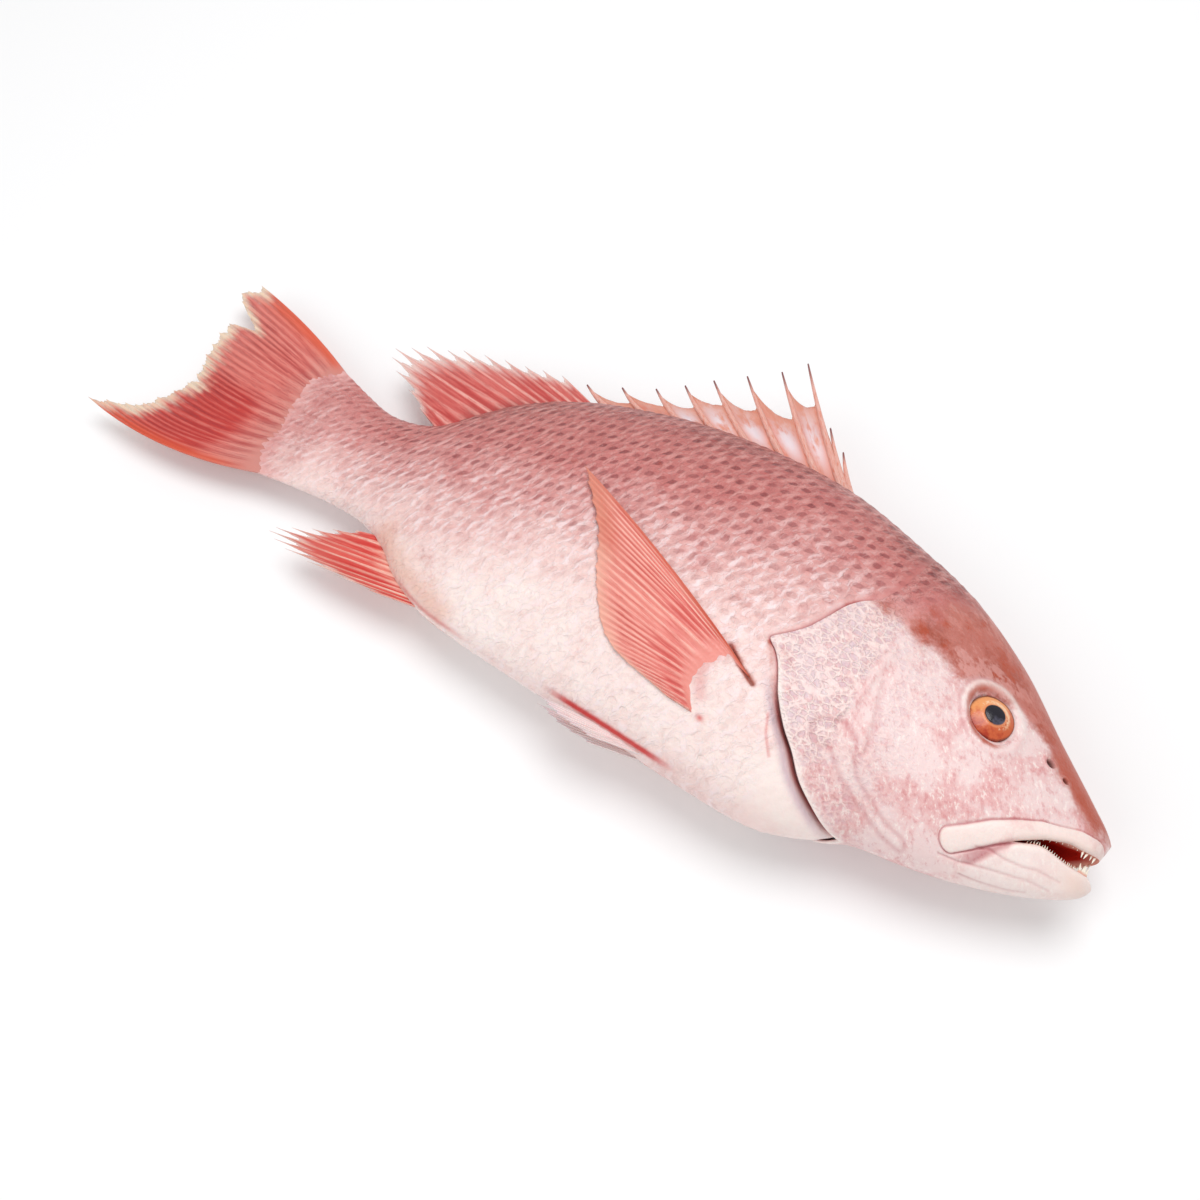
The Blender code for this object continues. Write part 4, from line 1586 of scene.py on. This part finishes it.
    def lining(self, points: Array, s: Array) -> Shell:
        """The pocket inside the mouth, from the upper lip's edge to the lower lip's.

        Args:
            points: The head's points.
            s: The head's stations.

        Returns:
            The pocket.
        """
        row = self.lip_row()
        mirrored = self.mirror_row(row)
        last = int(np.argmax(s[:, row] >= self.mouth_corner)) + 1
        turn = np.linspace(0, 1, self.lining_layers)[None, :, None]
        throat = FORM.place(*self.throat, FORM.lift)
        shell = Shell()
        for upper_row, lower_row, flip in ((row, row + 1, False), (mirrored, mirrored - 1, True)):
            upper, lower = points[:last, upper_row][:, None], points[:last, lower_row][:, None]
            middle = (upper + lower) / 2
            reach = np.linspace(1, 0.0, last)[:, None, None] ** 0.25
            bulge = np.sin(math.pi * turn) ** 0.75
            pocket = upper * (1 - turn) + lower * turn + (throat - middle) * 0.9 * reach * bulge
            depth = np.broadcast_to(bulge[..., 0] * (0.35 + 0.65 * reach[..., 0]), pocket.shape[:2])
            shell.grid(pocket, {"depth": depth}, flip=flip)
        return shell

    def build(self, finish: Material, lining: Material) -> Array:
        """Makes the four pieces of skin and the mouth's lining.

        Args:
            finish: The skin's finish.
            lining: The lining's finish.

        Returns:
            The head's points, on which the teeth stand.
        """
        shell = Shell()
        head_index, head_points = self.head(shell)
        head_faces = sum(len(f) for f in shell.faces)
        trunk_index = self.trunk(shell)
        normals = shell.normals()
        base, sides = self.rows()
        edge_girth = FORM.girth(self.edge_station(base), base)
        joined = edge_girth > self.gill_top
        shared = normals[head_index[-1, joined]] + normals[trunk_index[0, joined]]
        shared /= np.linalg.norm(shared, axis=1, keepdims=True)
        normals[head_index[-1, joined]] = shared
        normals[trunk_index[0, joined]] = shared
        faces = np.concatenate(shell.faces)
        row_of = np.full(shell.count, 0)
        for grid in (head_index, trunk_index):
            row_of[grid] = np.arange(grid.shape[1])[None, :]
        extra = np.arange(head_index.size, trunk_index.min())
        row_of[extra] = (extra - head_index.size) % len(sides)
        first = row_of[faces[:, 0]]
        shown = first < self.shown_rows - 1
        in_head = np.arange(len(faces)) < head_faces
        for name, chosen in (
            ("head_shown_side", in_head & shown), ("head_resting_side", in_head & ~shown),
            ("trunk_shown_side", ~in_head & shown), ("trunk_resting_side", ~in_head & ~shown),
        ):
            shell.build(name, finish, Slot.SKIN, normals, chosen)
        s, _, _ = self.head_grid()
        self.lining(head_points, s).build("mouth_lining", lining, Slot.MOUTH)
        return head_points


@dataclass
class Eye:
    """One eye: a low glossy dome set in its socket."""

    side: Side
    radius: float = 0.0106
    dome: float = 0.0034
    sink: float = 0.0012
    rings: int = 60
    spokes: int = 96

    def build(self, material: Material) -> None:
        """Makes the eye.

        Args:
            material: Its finish.
        """
        s, girth = np.array([EYE_STATION]), np.array([EYE_GIRTH])
        phi = FORM.angle(s, girth)
        side = float(self.side.value)
        centre = FORM.point(s, phi, side)[0]
        out = FORM.normal(s, phi, np.array([side]))[0]
        ahead = np.array([1.0, 0.0, 0.0]) - out * out[0]
        ahead /= np.linalg.norm(ahead)
        up = np.cross(out, ahead) * side
        r = np.linspace(0.004, 1.0, self.rings)[:, None]
        turn = turns(self.spokes)
        x, y = r * np.cos(turn), r * np.sin(turn)
        height = self.dome * (1 - r**2) - self.sink - 0.0025 * ease(r, 0.93, 1.0)
        height = height + 0.0007 * (1 - ease(r, 0.40, 0.46)) + 0 * turn
        wide = self.radius * (1 + 0.02 * np.cos(2 * turn))
        points = centre + (wide * x)[..., None] * ahead + (wide * y)[..., None] * up
        points += height[..., None] * out
        shell = Shell()
        iris = np.stack([x, y, r + 0 * turn], -1)
        shell.grid(points, {"iris": iris}, flip=side > 0, wrap=True)
        shell.build(f"eye_{self.side.name.lower()}", material, Slot.EYE)


@dataclass
class RayFin:
    """A soft-rayed fin: branching rays in a thin web with a ragged edge."""

    name: str
    rays: int
    roots: Points
    tips: Points
    bows: tuple[float, float] = (0.0, 0.0)
    root_depth: float = 0.0
    root_outline: Points | None = None
    samples: int = 10
    rows: int = 64
    ray_thickness: float = 0.0020
    web_thickness: float = 0.0007
    edge_thickness: float = 0.0003
    root_swell: float = 0.0
    notch: float = 0.05
    ragged: float = 0.03
    tears: tuple[tuple[float, float, float], ...] = ()
    ripple: float = 0.0006
    seed: int = 1
    branching: float = 1.0
    side: float = 0.0
    lifts: tuple[float, float] = (0.0007, 0.0022)
    smooth_root: float = -0.2
    sink: float = 0.0
    crest: float = 2.5

    def height_of(self, s: Array, y: Array) -> Array:
        """Height in metres of the fin's middle at each place."""
        return FORM.middle(s)

    def uneven(self, a: Array, b: Array) -> Array:
        """Moves even places across the fin so that its rays lie unevenly."""
        middle = np.clip(4 * a * (self.rays - 1 - a) / (self.rays - 1) ** 2, 0, 1)
        return np.clip(a + 0.30 * value_noise(a * 0.8, b * 0.5, self.seed + 7) * middle, 0, self.rays - 1)

    def edge_reach(self, a: Array) -> Array:
        """Share of the rays' length that the web reaches at each place across the fin.

        Args:
            a: Places across, in rays.

        Returns:
            Shares.
        """
        rng = np.random.default_rng(self.seed)
        branch = a * 4
        lengths = rng.uniform(-1, 1, self.rays * 4 + 4)
        near = np.clip(np.round(branch).astype(int), 0, len(lengths) - 1)
        split = np.abs(np.sin(math.pi * branch))
        between = np.abs(np.sin(math.pi * a))
        reach = 1 - self.notch * between**0.8 - self.ragged * (0.6 * split**1.5 + 0.4 * lengths[near])
        for at, width, depth in self.tears:
            reach = reach - depth * bell(a - at, width)
        return reach

    def ridge(self, a: Array, b: Array) -> Array:
        """How much of a ray there is at each place, from 0 in a groove to 1 on a ray's crest.

        Args:
            a: Places across, in rays.
            b: Shares of the way out.

        Returns:
            Heights of the ray.
        """
        rng = np.random.default_rng(self.seed + 40)
        own = rng.uniform(-0.14, 0.14, self.rays + 1)[np.round(a).astype(int)]
        single = np.abs(np.cos(math.pi * a)) ** self.crest
        double = np.abs(np.cos(2 * math.pi * a)) ** 1.8
        four = np.abs(np.cos(4 * math.pi * a)) ** 1.4
        first = ease(b + own, 0.35, 0.60) * np.minimum(self.branching, 1)
        second = ease(b + own, 0.65, 0.90) * np.maximum(self.branching - 1, 0)
        mixed = single * (1 - first) + double * first
        return mixed * (1 - second) + four * second

    def colour_values(self, a: Array, b: Array) -> Values:
        """Further named values for the finish."""
        return {"edge": 0 * a, "flush": 0.55 * bell(b - 0.45, 0.35) * (1 - ease(b, 0.7, 0.95))}

    def centre(self) -> tuple[Array, Array, Array, Array]:
        """Middle surface of the fin.

        Returns:
            Place across in rays, share of the way out, stations and heights.
        """
        count = (self.rays - 1) * self.samples + 1
        a = np.linspace(0, self.rays - 1, count)[None, :]
        b = np.linspace(0, 1, self.rows)[:, None]
        share = a / (self.rays - 1)
        root_s, root_y = along(self.roots, share)
        if self.root_outline is not None:
            root_y = curve_at(self.root_outline, root_s) + self.root_depth
        tip_s, tip_y = along(self.tips, share)
        reach = self.edge_reach(a)
        v = b * reach
        bow = self.bows[0] + (self.bows[1] - self.bows[0]) * share
        s = root_s + (tip_s - root_s) * v
        y = root_y + (tip_y - root_y) * v + 4 * bow * v * (1 - v)
        return np.broadcast_to(a, s.shape), np.broadcast_to(b, s.shape), s, y

    def build(self, material: Material) -> None:
        """Makes the fin as a closed sheet.

        Args:
            material: Its finish.
        """
        a, b, s, y = self.centre()
        across = self.uneven(a, b)
        ridge = self.ridge(across, b)
        raised = ridge * ease(b, self.smooth_root, self.smooth_root + 0.16)
        thick = self.web_thickness + (self.ray_thickness - self.web_thickness) * raised * (1 - 0.75 * b)
        thick = thick + self.root_swell * (1 - ease(b, 0.0, 0.30))
        thick = thick * (1 - ease(b, 0.9, 1.0)) + self.edge_thickness * ease(b, 0.9, 1.0)
        wave = self.ripple * b * value_noise(a * 0.45 + self.seed, b * 1.3, self.seed)
        z = self.height_of(s, y) + wave + 0.35 * self.ripple * b * (ridge - 0.5)
        z = z - self.side * self.sink * (1 - ease(b, 0.0, 0.16))
        values = {"ray": np.stack([across, b, 0 * a], -1), "ridge": ridge}
        values.update(self.colour_values(a, b))
        shell = Shell()
        upper = shell.grid(FORM.settle(FORM.place(s, y, z + thick / 2)), values)
        lower = shell.grid(FORM.settle(FORM.place(s, y, z - thick / 2)), values, flip=True)
        for one, two in (
            (upper[-1], lower[-1]), (lower[0], upper[0]), (lower[:, -1], upper[:, -1]),
            (upper[:, 0], lower[:, 0]),
        ):
            shell.quads(np.stack([one[:-1], two[:-1], two[1:], one[1:]], -1))
        shell.build(self.name, material, Slot.FINS)


@dataclass
class TailFin(RayFin):
    """The forked tail fin, with one torn notch in its upper lobe."""

    def colour_values(self, a: Array, b: Array) -> Values:
        """An orange outer edge to the upper lobe, and a blood-red middle.

        Args:
            a: Places across, in rays.
            b: Shares of the way out.

        Returns:
            The named values.
        """
        top = bell(a - 0.2, 0.8) * ease(b, 0.02, 0.2) * (1 - ease(b, 0.75, 1.0))
        low = bell(a - (self.rays - 1), 0.9) * ease(b, 0.05, 0.3) * (1 - 0.6 * ease(b, 0.8, 1.0))
        red = (0.20 + 0.70 * ease(a, 6.0, 10.0)) * ease(b, 0.22, 0.55) * (1 - ease(b, 0.86, 0.99))
        return {"edge": 0.75 * np.maximum(top, low), "flush": red}


@dataclass
class PectoralFin(RayFin):
    """A pectoral fin laid back on its flank."""

    def height_of(self, s: Array, y: Array) -> Array:
        """Just off the skin, further out towards the tip.

        Args:
            s: Stations.
            y: Heights.

        Returns:
            Heights in metres.
        """
        start, stop = self.roots[0][0], self.tips[0][0]
        out = np.clip((s - start) / (stop - start), 0, 1)
        lift = self.lifts[0] + (self.lifts[1] - self.lifts[0]) * out
        return FORM.skin_height(s, y, self.side) + self.side * lift

    def colour_values(self, a: Array, b: Array) -> Values:
        """An orange-red leading edge, and a red flush between the rays.

        Args:
            a: Places across, in rays.
            b: Shares of the way out.

        Returns:
            The named values.
        """
        tip = ease(b, 0.75, 0.95) * (1 - ease(a, 3.0, 6.0)) * 0.5
        edge = np.maximum(bell(a, 0.45 + 0.8 * (1 - b) ** 2) * (1 - 0.5 * b), tip)
        return {"edge": edge, "flush": 0.52 * bell(b - 0.30, 0.22) * ease(a, 0.8, 2.5)}


@dataclass
class PelvicFin(RayFin):
    """A pelvic fin folded under the belly."""

    spread: float = 0.0045

    def height_of(self, s: Array, y: Array) -> Array:
        """Beside the middle plane."""
        out = np.clip((s - self.roots[0][0]) / (self.tips[0][0] - self.roots[0][0]), 0, 1)
        return FORM.middle(s) + self.side * self.spread * (0.6 + 0.4 * out)

    def colour_values(self, a: Array, b: Array) -> Values:
        """Red along the root of the front rays."""
        return {"edge": 0 * a, "flush": 0.7 * bell(a, 0.25) * (1 - ease(b, 0.5, 0.9))}


@dataclass
class SpinyDorsal:
    """The front dorsal fin: ten stiff spines with a web hung behind each."""

    front_spines: tuple[float, ...] = (0.386, 0.392, 0.400)
    next_spine: float = 0.432
    step: float = 0.0405
    count: int = 10
    front_tips: Points = outline((436, 272), (464, 294), (530, 363))
    rear_tips: Points = outline((550, 337), (612, 287), (664, 244), (738, 211))
    notches: tuple[float, ...] = (0.60, 0.64, 0.70, 0.62, 0.68, 0.68, 0.68, 0.66, 0.62, 0.34)
    root_depth: float = 0.014
    root_radius: float = 0.0019
    tip_radius: float = 0.0004
    samples: int = 16
    rows: int = 44

    def spines(self) -> tuple[Array, Array]:
        """Root and tip of each spine, as stations and heights.

        Returns:
            The roots, and the tips.
        """
        rest = [self.next_spine + self.step * k for k in range(self.count - len(self.front_spines))]
        stations = np.array([*self.front_spines, *rest])
        roots = np.stack([stations, curve_at(FORM.back, stations) - self.root_depth], -1)
        share = np.linspace(0, 1, self.count - len(self.front_tips))
        tips = np.concatenate([np.array(self.front_tips), np.stack(along(self.rear_tips, share), -1)])
        return roots, tips

    def build(self, spine: Material, web: Material) -> None:
        """Makes the spines as one piece and the web as another.

        Args:
            spine: The spines' finish.
            web: The web's finish.
        """
        roots, tips = self.spines()
        shell = Shell()
        v = np.linspace(0, 1, 28)[:, None]
        turn = turns(12)
        for k, (root, tip) in enumerate(zip(roots, tips)):
            s = root[0] + (tip[0] - root[0]) * v
            y = root[1] + (tip[1] - root[1]) * v - 0.004 * 4 * v * (1 - v)
            centre = FORM.place(s, y, FORM.middle(s))
            radius = self.root_radius + (self.tip_radius - self.root_radius) * v**1.7
            out = np.array([-(tip[1] - root[1]), -(tip[0] - root[0]), 0.0])
            out /= np.linalg.norm(out)
            points = centre + radius[..., None] * (
                np.cos(turn)[..., None] * out + np.sin(turn)[..., None] * np.array([0.0, 0.0, 1.0]))
            ray = np.stack([k + np.cos(turn) * 0.3 + 0 * v, v + 0 * turn, 0 * v * turn], -1)
            shell.grid(points, {"ray": ray}, wrap=True)
        shell.build("dorsal_spines", spine, Slot.FINS)
        self.web(roots, tips).build("spiny_dorsal_web", web, Slot.FINS)

    def web(self, roots: Array, tips: Array) -> Shell:
        """The thin web between the spines, high in front of each spine and low behind it.

        Args:
            roots: Root of each spine.
            tips: Tip of each spine.

        Returns:
            The web.
        """
        shell = Shell()
        b = np.linspace(0, 1, self.rows)[:, None]
        u = np.linspace(0, 1, self.samples)[None, :]
        rng = np.random.default_rng(11)
        for k in range(self.count):
            root, tip = roots[k], tips[k]
            if k + 1 < self.count:
                next_root, next_tip = roots[k + 1], tips[k + 1]
            else:
                next_root, next_tip = root + np.array([0.024, -0.006]), tip + np.array([0.004, -0.030])
            low = root + (next_root - root) * u[0][:, None]
            high = tip + (next_tip - tip) * u[0][:, None]
            notch = self.notches[k] + 0.02 * rng.uniform(-1, 1)
            drop = notch + (0.90 - notch) * u**4 + (0.80 - notch) * bell(u, 0.05)
            drop = drop - 0.015 * np.abs(value_noise(u * 7 + k, 0 * u, 2 + k)) * np.sin(math.pi * u)
            v = b * drop
            s = low[None, :, 0] + (high - low)[None, :, 0] * v
            y = low[None, :, 1] + (high - low)[None, :, 1] * v - 0.016 * v * (1 - v)
            billow = 0.0009 * np.sin(math.pi * u) * b * (1 if k % 2 else -1)
            z = FORM.middle(s) + billow
            thick = 0.0006 - 0.0003 * b + 0 * u
            ridge = 0.8 * (bell(u, 0.08) + bell(u - 1, 0.08)) + 0 * b
            values = {
                "ray": np.stack([k + u + 0 * b, b + 0 * u, 0 * b * u], -1), "ridge": ridge,
                "edge": 0.70 * np.clip(bell(u, 0.14) + bell(b - 1, 0.10), 0, 1) * ease(b, 0.1, 0.4) + 0 * u,
                "flush": 0.8 * (1 - ease(b, 0.10, 0.40)) * np.minimum(1, 0.35 + k / 6) + 0 * u,
                "window": (
                    0.95 * np.sin(math.pi * np.clip(u * 1.2 - 0.12, 0, 1)) * bell(b - 0.62, 0.30)
                    * (1.0 if 1 < k < 7 else 0.25)),
            }
            upper = shell.grid(FORM.place(s, y, z + thick / 2), values)
            lower = shell.grid(FORM.place(s, y, z - thick / 2), values, flip=True)
            shell.quads(np.stack([upper[-1][:-1], lower[-1][:-1], lower[-1][1:], upper[-1][1:]], -1))
        return shell


@dataclass
class Teeth:
    """Small pointed teeth along both jaws."""

    upper_count: int = 13
    lower_count: int = 26
    middle: tuple[float, float] = (0.100, -0.050)
    depth: float = 0.0011

    def build(self, skin: Skin, points: Array, material: Material) -> None:
        """Makes the teeth just inside the lips' edges, along both sides.

        Args:
            skin: The skin, which knows the lips' rows.
            points: The head's points.
            material: The teeth's finish.
        """
        s, _, _ = skin.head_grid()
        row = skin.lip_row()
        mirrored = skin.mirror_row(row)
        shell = Shell()
        rng = np.random.default_rng(4)
        inward = FORM.place(*self.middle, FORM.lift)
        for upper, count, tall, small in (
            (True, self.upper_count, 0.0030, 0.28), (False, self.lower_count, 0.0046, 0.34),
        ):
            for side_row in ((row if upper else row + 1), (mirrored if upper else mirrored - 1)):
                line = points[:, side_row]
                for k in range(count):
                    station = s[0, side_row] + 0.003 + 0.062 * (k / (count - 1)) ** 1.15
                    i = int(np.argmin(np.abs(s[:, side_row] - station)))
                    foot = line[i] + self.depth * (inward - line[i]) / np.linalg.norm(inward - line[i])
                    size = tall * (1.0 if k < 4 else small) * rng.uniform(0.75, 1.15)
                    ahead, aside = rng.uniform(-0.25, 0.15), rng.uniform(-0.15, 0.15)
                    lean = np.array([ahead, -1.0 if upper else 1.0, aside])
                    self.tooth(shell, foot, lean / np.linalg.norm(lean), size)
        shell.build("teeth", material, Slot.TEETH)

    def tooth(self, shell: Shell, foot: Array, way: Array, size: float) -> None:
        """Adds one curved cone.

        Args:
            shell: The piece.
            foot: Where it stands.
            way: Where it points.
            size: Its height in metres.
        """
        v = np.linspace(-0.35, 1, 9)[:, None]
        turn = turns(8)
        first = np.cross(way, np.array([0.3, 0.1, 1.0]))
        first /= np.linalg.norm(first)
        second = np.cross(way, first)
        radius = 0.20 * size * (1 - np.clip(v, 0, 1)) ** 0.8 + 0.00003
        centre = foot + (v * size)[..., None] * way
        points = centre + (radius * np.cos(turn))[..., None] * first
        points += (radius * np.sin(turn))[..., None] * second
        shell.grid(points, {"ray": np.stack([0 * v * turn, v + 0 * turn, 0 * v * turn], -1)}, wrap=True)


@dataclass(frozen=True)
class Lamp:
    """A round soft light, its place and width in metres and its power in watts."""

    name: str
    at: tuple[float, float, float]
    power: float
    size: float


@dataclass
class Studio:
    """The pale floor, the soft lights and the camera."""

    lamps: tuple[Lamp, ...] = (
        Lamp("key", (0.10, 0.26, 1.40), 11.5, 1.05),
        Lamp("fill", (-0.4, -1.1, 0.9), 4.5, 1.3),
    )
    sky: float = 0.50
    floor_glow: float = 0.10
    floor_drop: float = 0.0002
    aim: tuple[float, float, float] = (0.0206, -0.0536, 0.0322)
    azimuth: float = 32.33
    elevation: float = 60.0
    distance: float = 0.70
    lens: float = 47.14
    floor_size: float = 6.0

    def floor(self) -> None:
        """Makes the pale floor."""
        bpy.ops.mesh.primitive_plane_add(size=self.floor_size, location=(0, 0, -self.floor_drop))
        floor = bpy.context.object
        floor.name = "floor"
        g = Graph("floor")
        soft = g.noise(g.body_place(), 2.0, 2)
        tone = g.mix(soft, (0.86, 0.86, 0.865), (0.88, 0.88, 0.885))
        floor.data.materials.append(g.finish(
            Base_Color=tone, Roughness=0.9, Specular_IOR_Level=0.1, Emission_Color=(1.0, 1.0, 1.0, 1.0),
            Emission_Strength=self.floor_glow,
        ))

    def light(self, lamp: Lamp) -> None:
        """Adds one light that faces the fish.

        Args:
            lamp: Its place, power and size.
        """
        data = bpy.data.lights.new(lamp.name, "AREA")
        data.energy = lamp.power
        data.shape = "DISK"
        data.size = lamp.size
        made = bpy.data.objects.new(lamp.name, data)
        made.location = lamp.at
        made.rotation_euler = (Vector(self.aim) - Vector(lamp.at)).to_track_quat("-Z", "Y").to_euler()
        bpy.context.scene.collection.objects.link(made)

    def camera(self) -> None:
        """Places the camera."""
        a, e = math.radians(self.azimuth), math.radians(self.elevation)
        back = Vector((math.sin(a) * math.cos(e), -math.cos(a) * math.cos(e), math.sin(e)))
        data = bpy.data.cameras.new("camera")
        data.lens = self.lens
        data.sensor_width = 36.0
        camera = bpy.data.objects.new("camera", data)
        camera.location = Vector(self.aim) + back * self.distance
        camera.rotation_euler = (-back).to_track_quat("-Z", "Y").to_euler()
        bpy.context.scene.collection.objects.link(camera)
        bpy.context.scene.camera = camera

    def build(self) -> None:
        """Sets up the studio."""
        self.floor()
        for lamp in self.lamps:
            self.light(lamp)
        world = bpy.data.worlds.new("studio")
        world.use_nodes = True
        sky = world.node_tree.nodes["Background"]
        sky.inputs[0].default_value = (1.0, 1.0, 1.0, 1.0)
        sky.inputs[1].default_value = self.sky
        bpy.context.scene.world = world
        bpy.context.scene.view_settings.view_transform = "Standard"
        self.camera()


def fins() -> list[tuple[RayFin, FinFinish]]:
    """Sizes and colours of the soft-rayed fins.

    Returns:
        Each fin with its finish.
    """
    pale = linear(250, 206, 178)
    tail = FinFinish(
        "tail_fin", linear(208, 136, 126), linear(216, 114, 104), linear(240, 222, 196), linear(160, 32, 38),
        linear(236, 160, 148), linear(222, 88, 50), linear(196, 56, 48), 0.75, 0.45, 0.84, 0.35,
        root_end=0.22)
    soft = FinFinish(
        "soft_dorsal", linear(152, 58, 54), linear(218, 114, 106), linear(248, 220, 212), linear(176, 42, 42),
        linear(250, 192, 180), linear(232, 120, 90), linear(204, 82, 76), 0.90, 0.95, 0.72, 0.35)
    anal = FinFinish(
        "anal_fin", linear(236, 176, 158), linear(226, 96, 84), linear(244, 214, 204), linear(196, 34, 30),
        linear(252, 208, 190), linear(250, 226, 210), linear(212, 58, 48), 0.9, 1.0, 0.84, 0.3)
    chest = FinFinish(
        "pectoral_fin", linear(236, 142, 130), linear(238, 146, 134), linear(246, 180, 160),
        linear(198, 58, 50), linear(252, 204, 188), linear(202, 84, 52), linear(224, 92, 84), 1.0, 0.80, 0.80,
        0.12, root_end=0.18)
    hip = FinFinish(
        "pelvic_fin", linear(238, 210, 206), linear(244, 222, 220), linear(232, 208, 212),
        linear(216, 160, 160), linear(252, 238, 234), pale, linear(206, 70, 60), 0.25, 0.4, 0.85, 0.2)
    made: list[tuple[RayFin, FinFinish]] = [
        (TailFin(
            "tail_fin", 17, outline((988, 80), (992, 0), (984, -81)),
            outline((1170, 141), (1172, 88), (1162, 30), (1150, -18), (1176, -72), (1237, -102)),
            bows=(0.006, -0.018),
            tears=((1.4, 0.5, -0.09), (3.1, 0.55, 0.20), (4.6, 0.2, 0.03), (9.4, 0.15, 0.04)),
            seed=2, rows=80, notch=0.02, ragged=0.022, root_swell=0.0004, smooth_root=0.12,
            ray_thickness=0.0015), tail),
        (RayFin(
            "soft_dorsal", 14, outline((688, 0), (840, 0)),
            outline((770, 208), (850, 195), (925, 171), (968, 136), (892, 87)),
            root_depth=-0.020, root_outline=FORM.back, notch=0.17, ragged=0.05, seed=3, branching=0.5,
            crest=1.9), soft),
        (RayFin(
            "anal_fin", 11, outline((700, 0), (812, 0)),
            outline((795, -147.5), (890, -151), (936, -140), (905, -119), (851, -91)),
            root_depth=0.012, root_outline=FORM.belly, notch=0.20, ragged=0.04, seed=4, branching=0.3,
            samples=14, crest=1.6), anal),
    ]
    for side in Side:
        label = side.name.lower()
        made.append((PectoralFin(
            f"pectoral_fin_{label}", 15,
            outline((371, -66), (397, -61), (413, -82), (415, -101), (402, -122)),
            outline((652, 71), (594, 4), (560, -52), (514, -100), (436, -120)),
            side=side.value, seed=5, rows=76, notch=0.018, ragged=0.010, branching=1.2, sink=0.0013,
            smooth_root=0.04), chest))
        made.append((PelvicFin(
            f"pelvic_fin_{label}", 5, outline((405, -158), (410, -164)),
            outline((558, -167), (530, -175), (490, -178)), side=side.value, seed=6), hip))
    return made


def main() -> None:
    """Builds every piece of the fish, and the studio around it."""
    logging.basicConfig(level=logging.INFO, format="%(name)s %(message)s")
    skin = Skin()
    head = skin.build(SkinFinish().material(), MouthFinish().material())
    Teeth().build(skin, head, ToothFinish().material())
    eye = EyeFinish().material()
    for side in Side:
        Eye(side).build(eye)
    web = FinFinish(
        "spiny_dorsal", linear(190, 104, 84), linear(226, 152, 130), linear(234, 160, 134),
        linear(214, 112, 88), linear(240, 190, 172), linear(214, 116, 78), linear(214, 112, 88), 0.6, 0.4,
        0.75, 0.35)
    SpinyDorsal().build(SpineFinish().material(), web.material())
    finishes: dict[str, Material] = {}
    for fin, finish in fins():
        if finish.name not in finishes:
            finishes[finish.name] = finish.material()
        fin.build(finishes[finish.name])
    Studio().build()


if __name__ == "__main__":
    main()
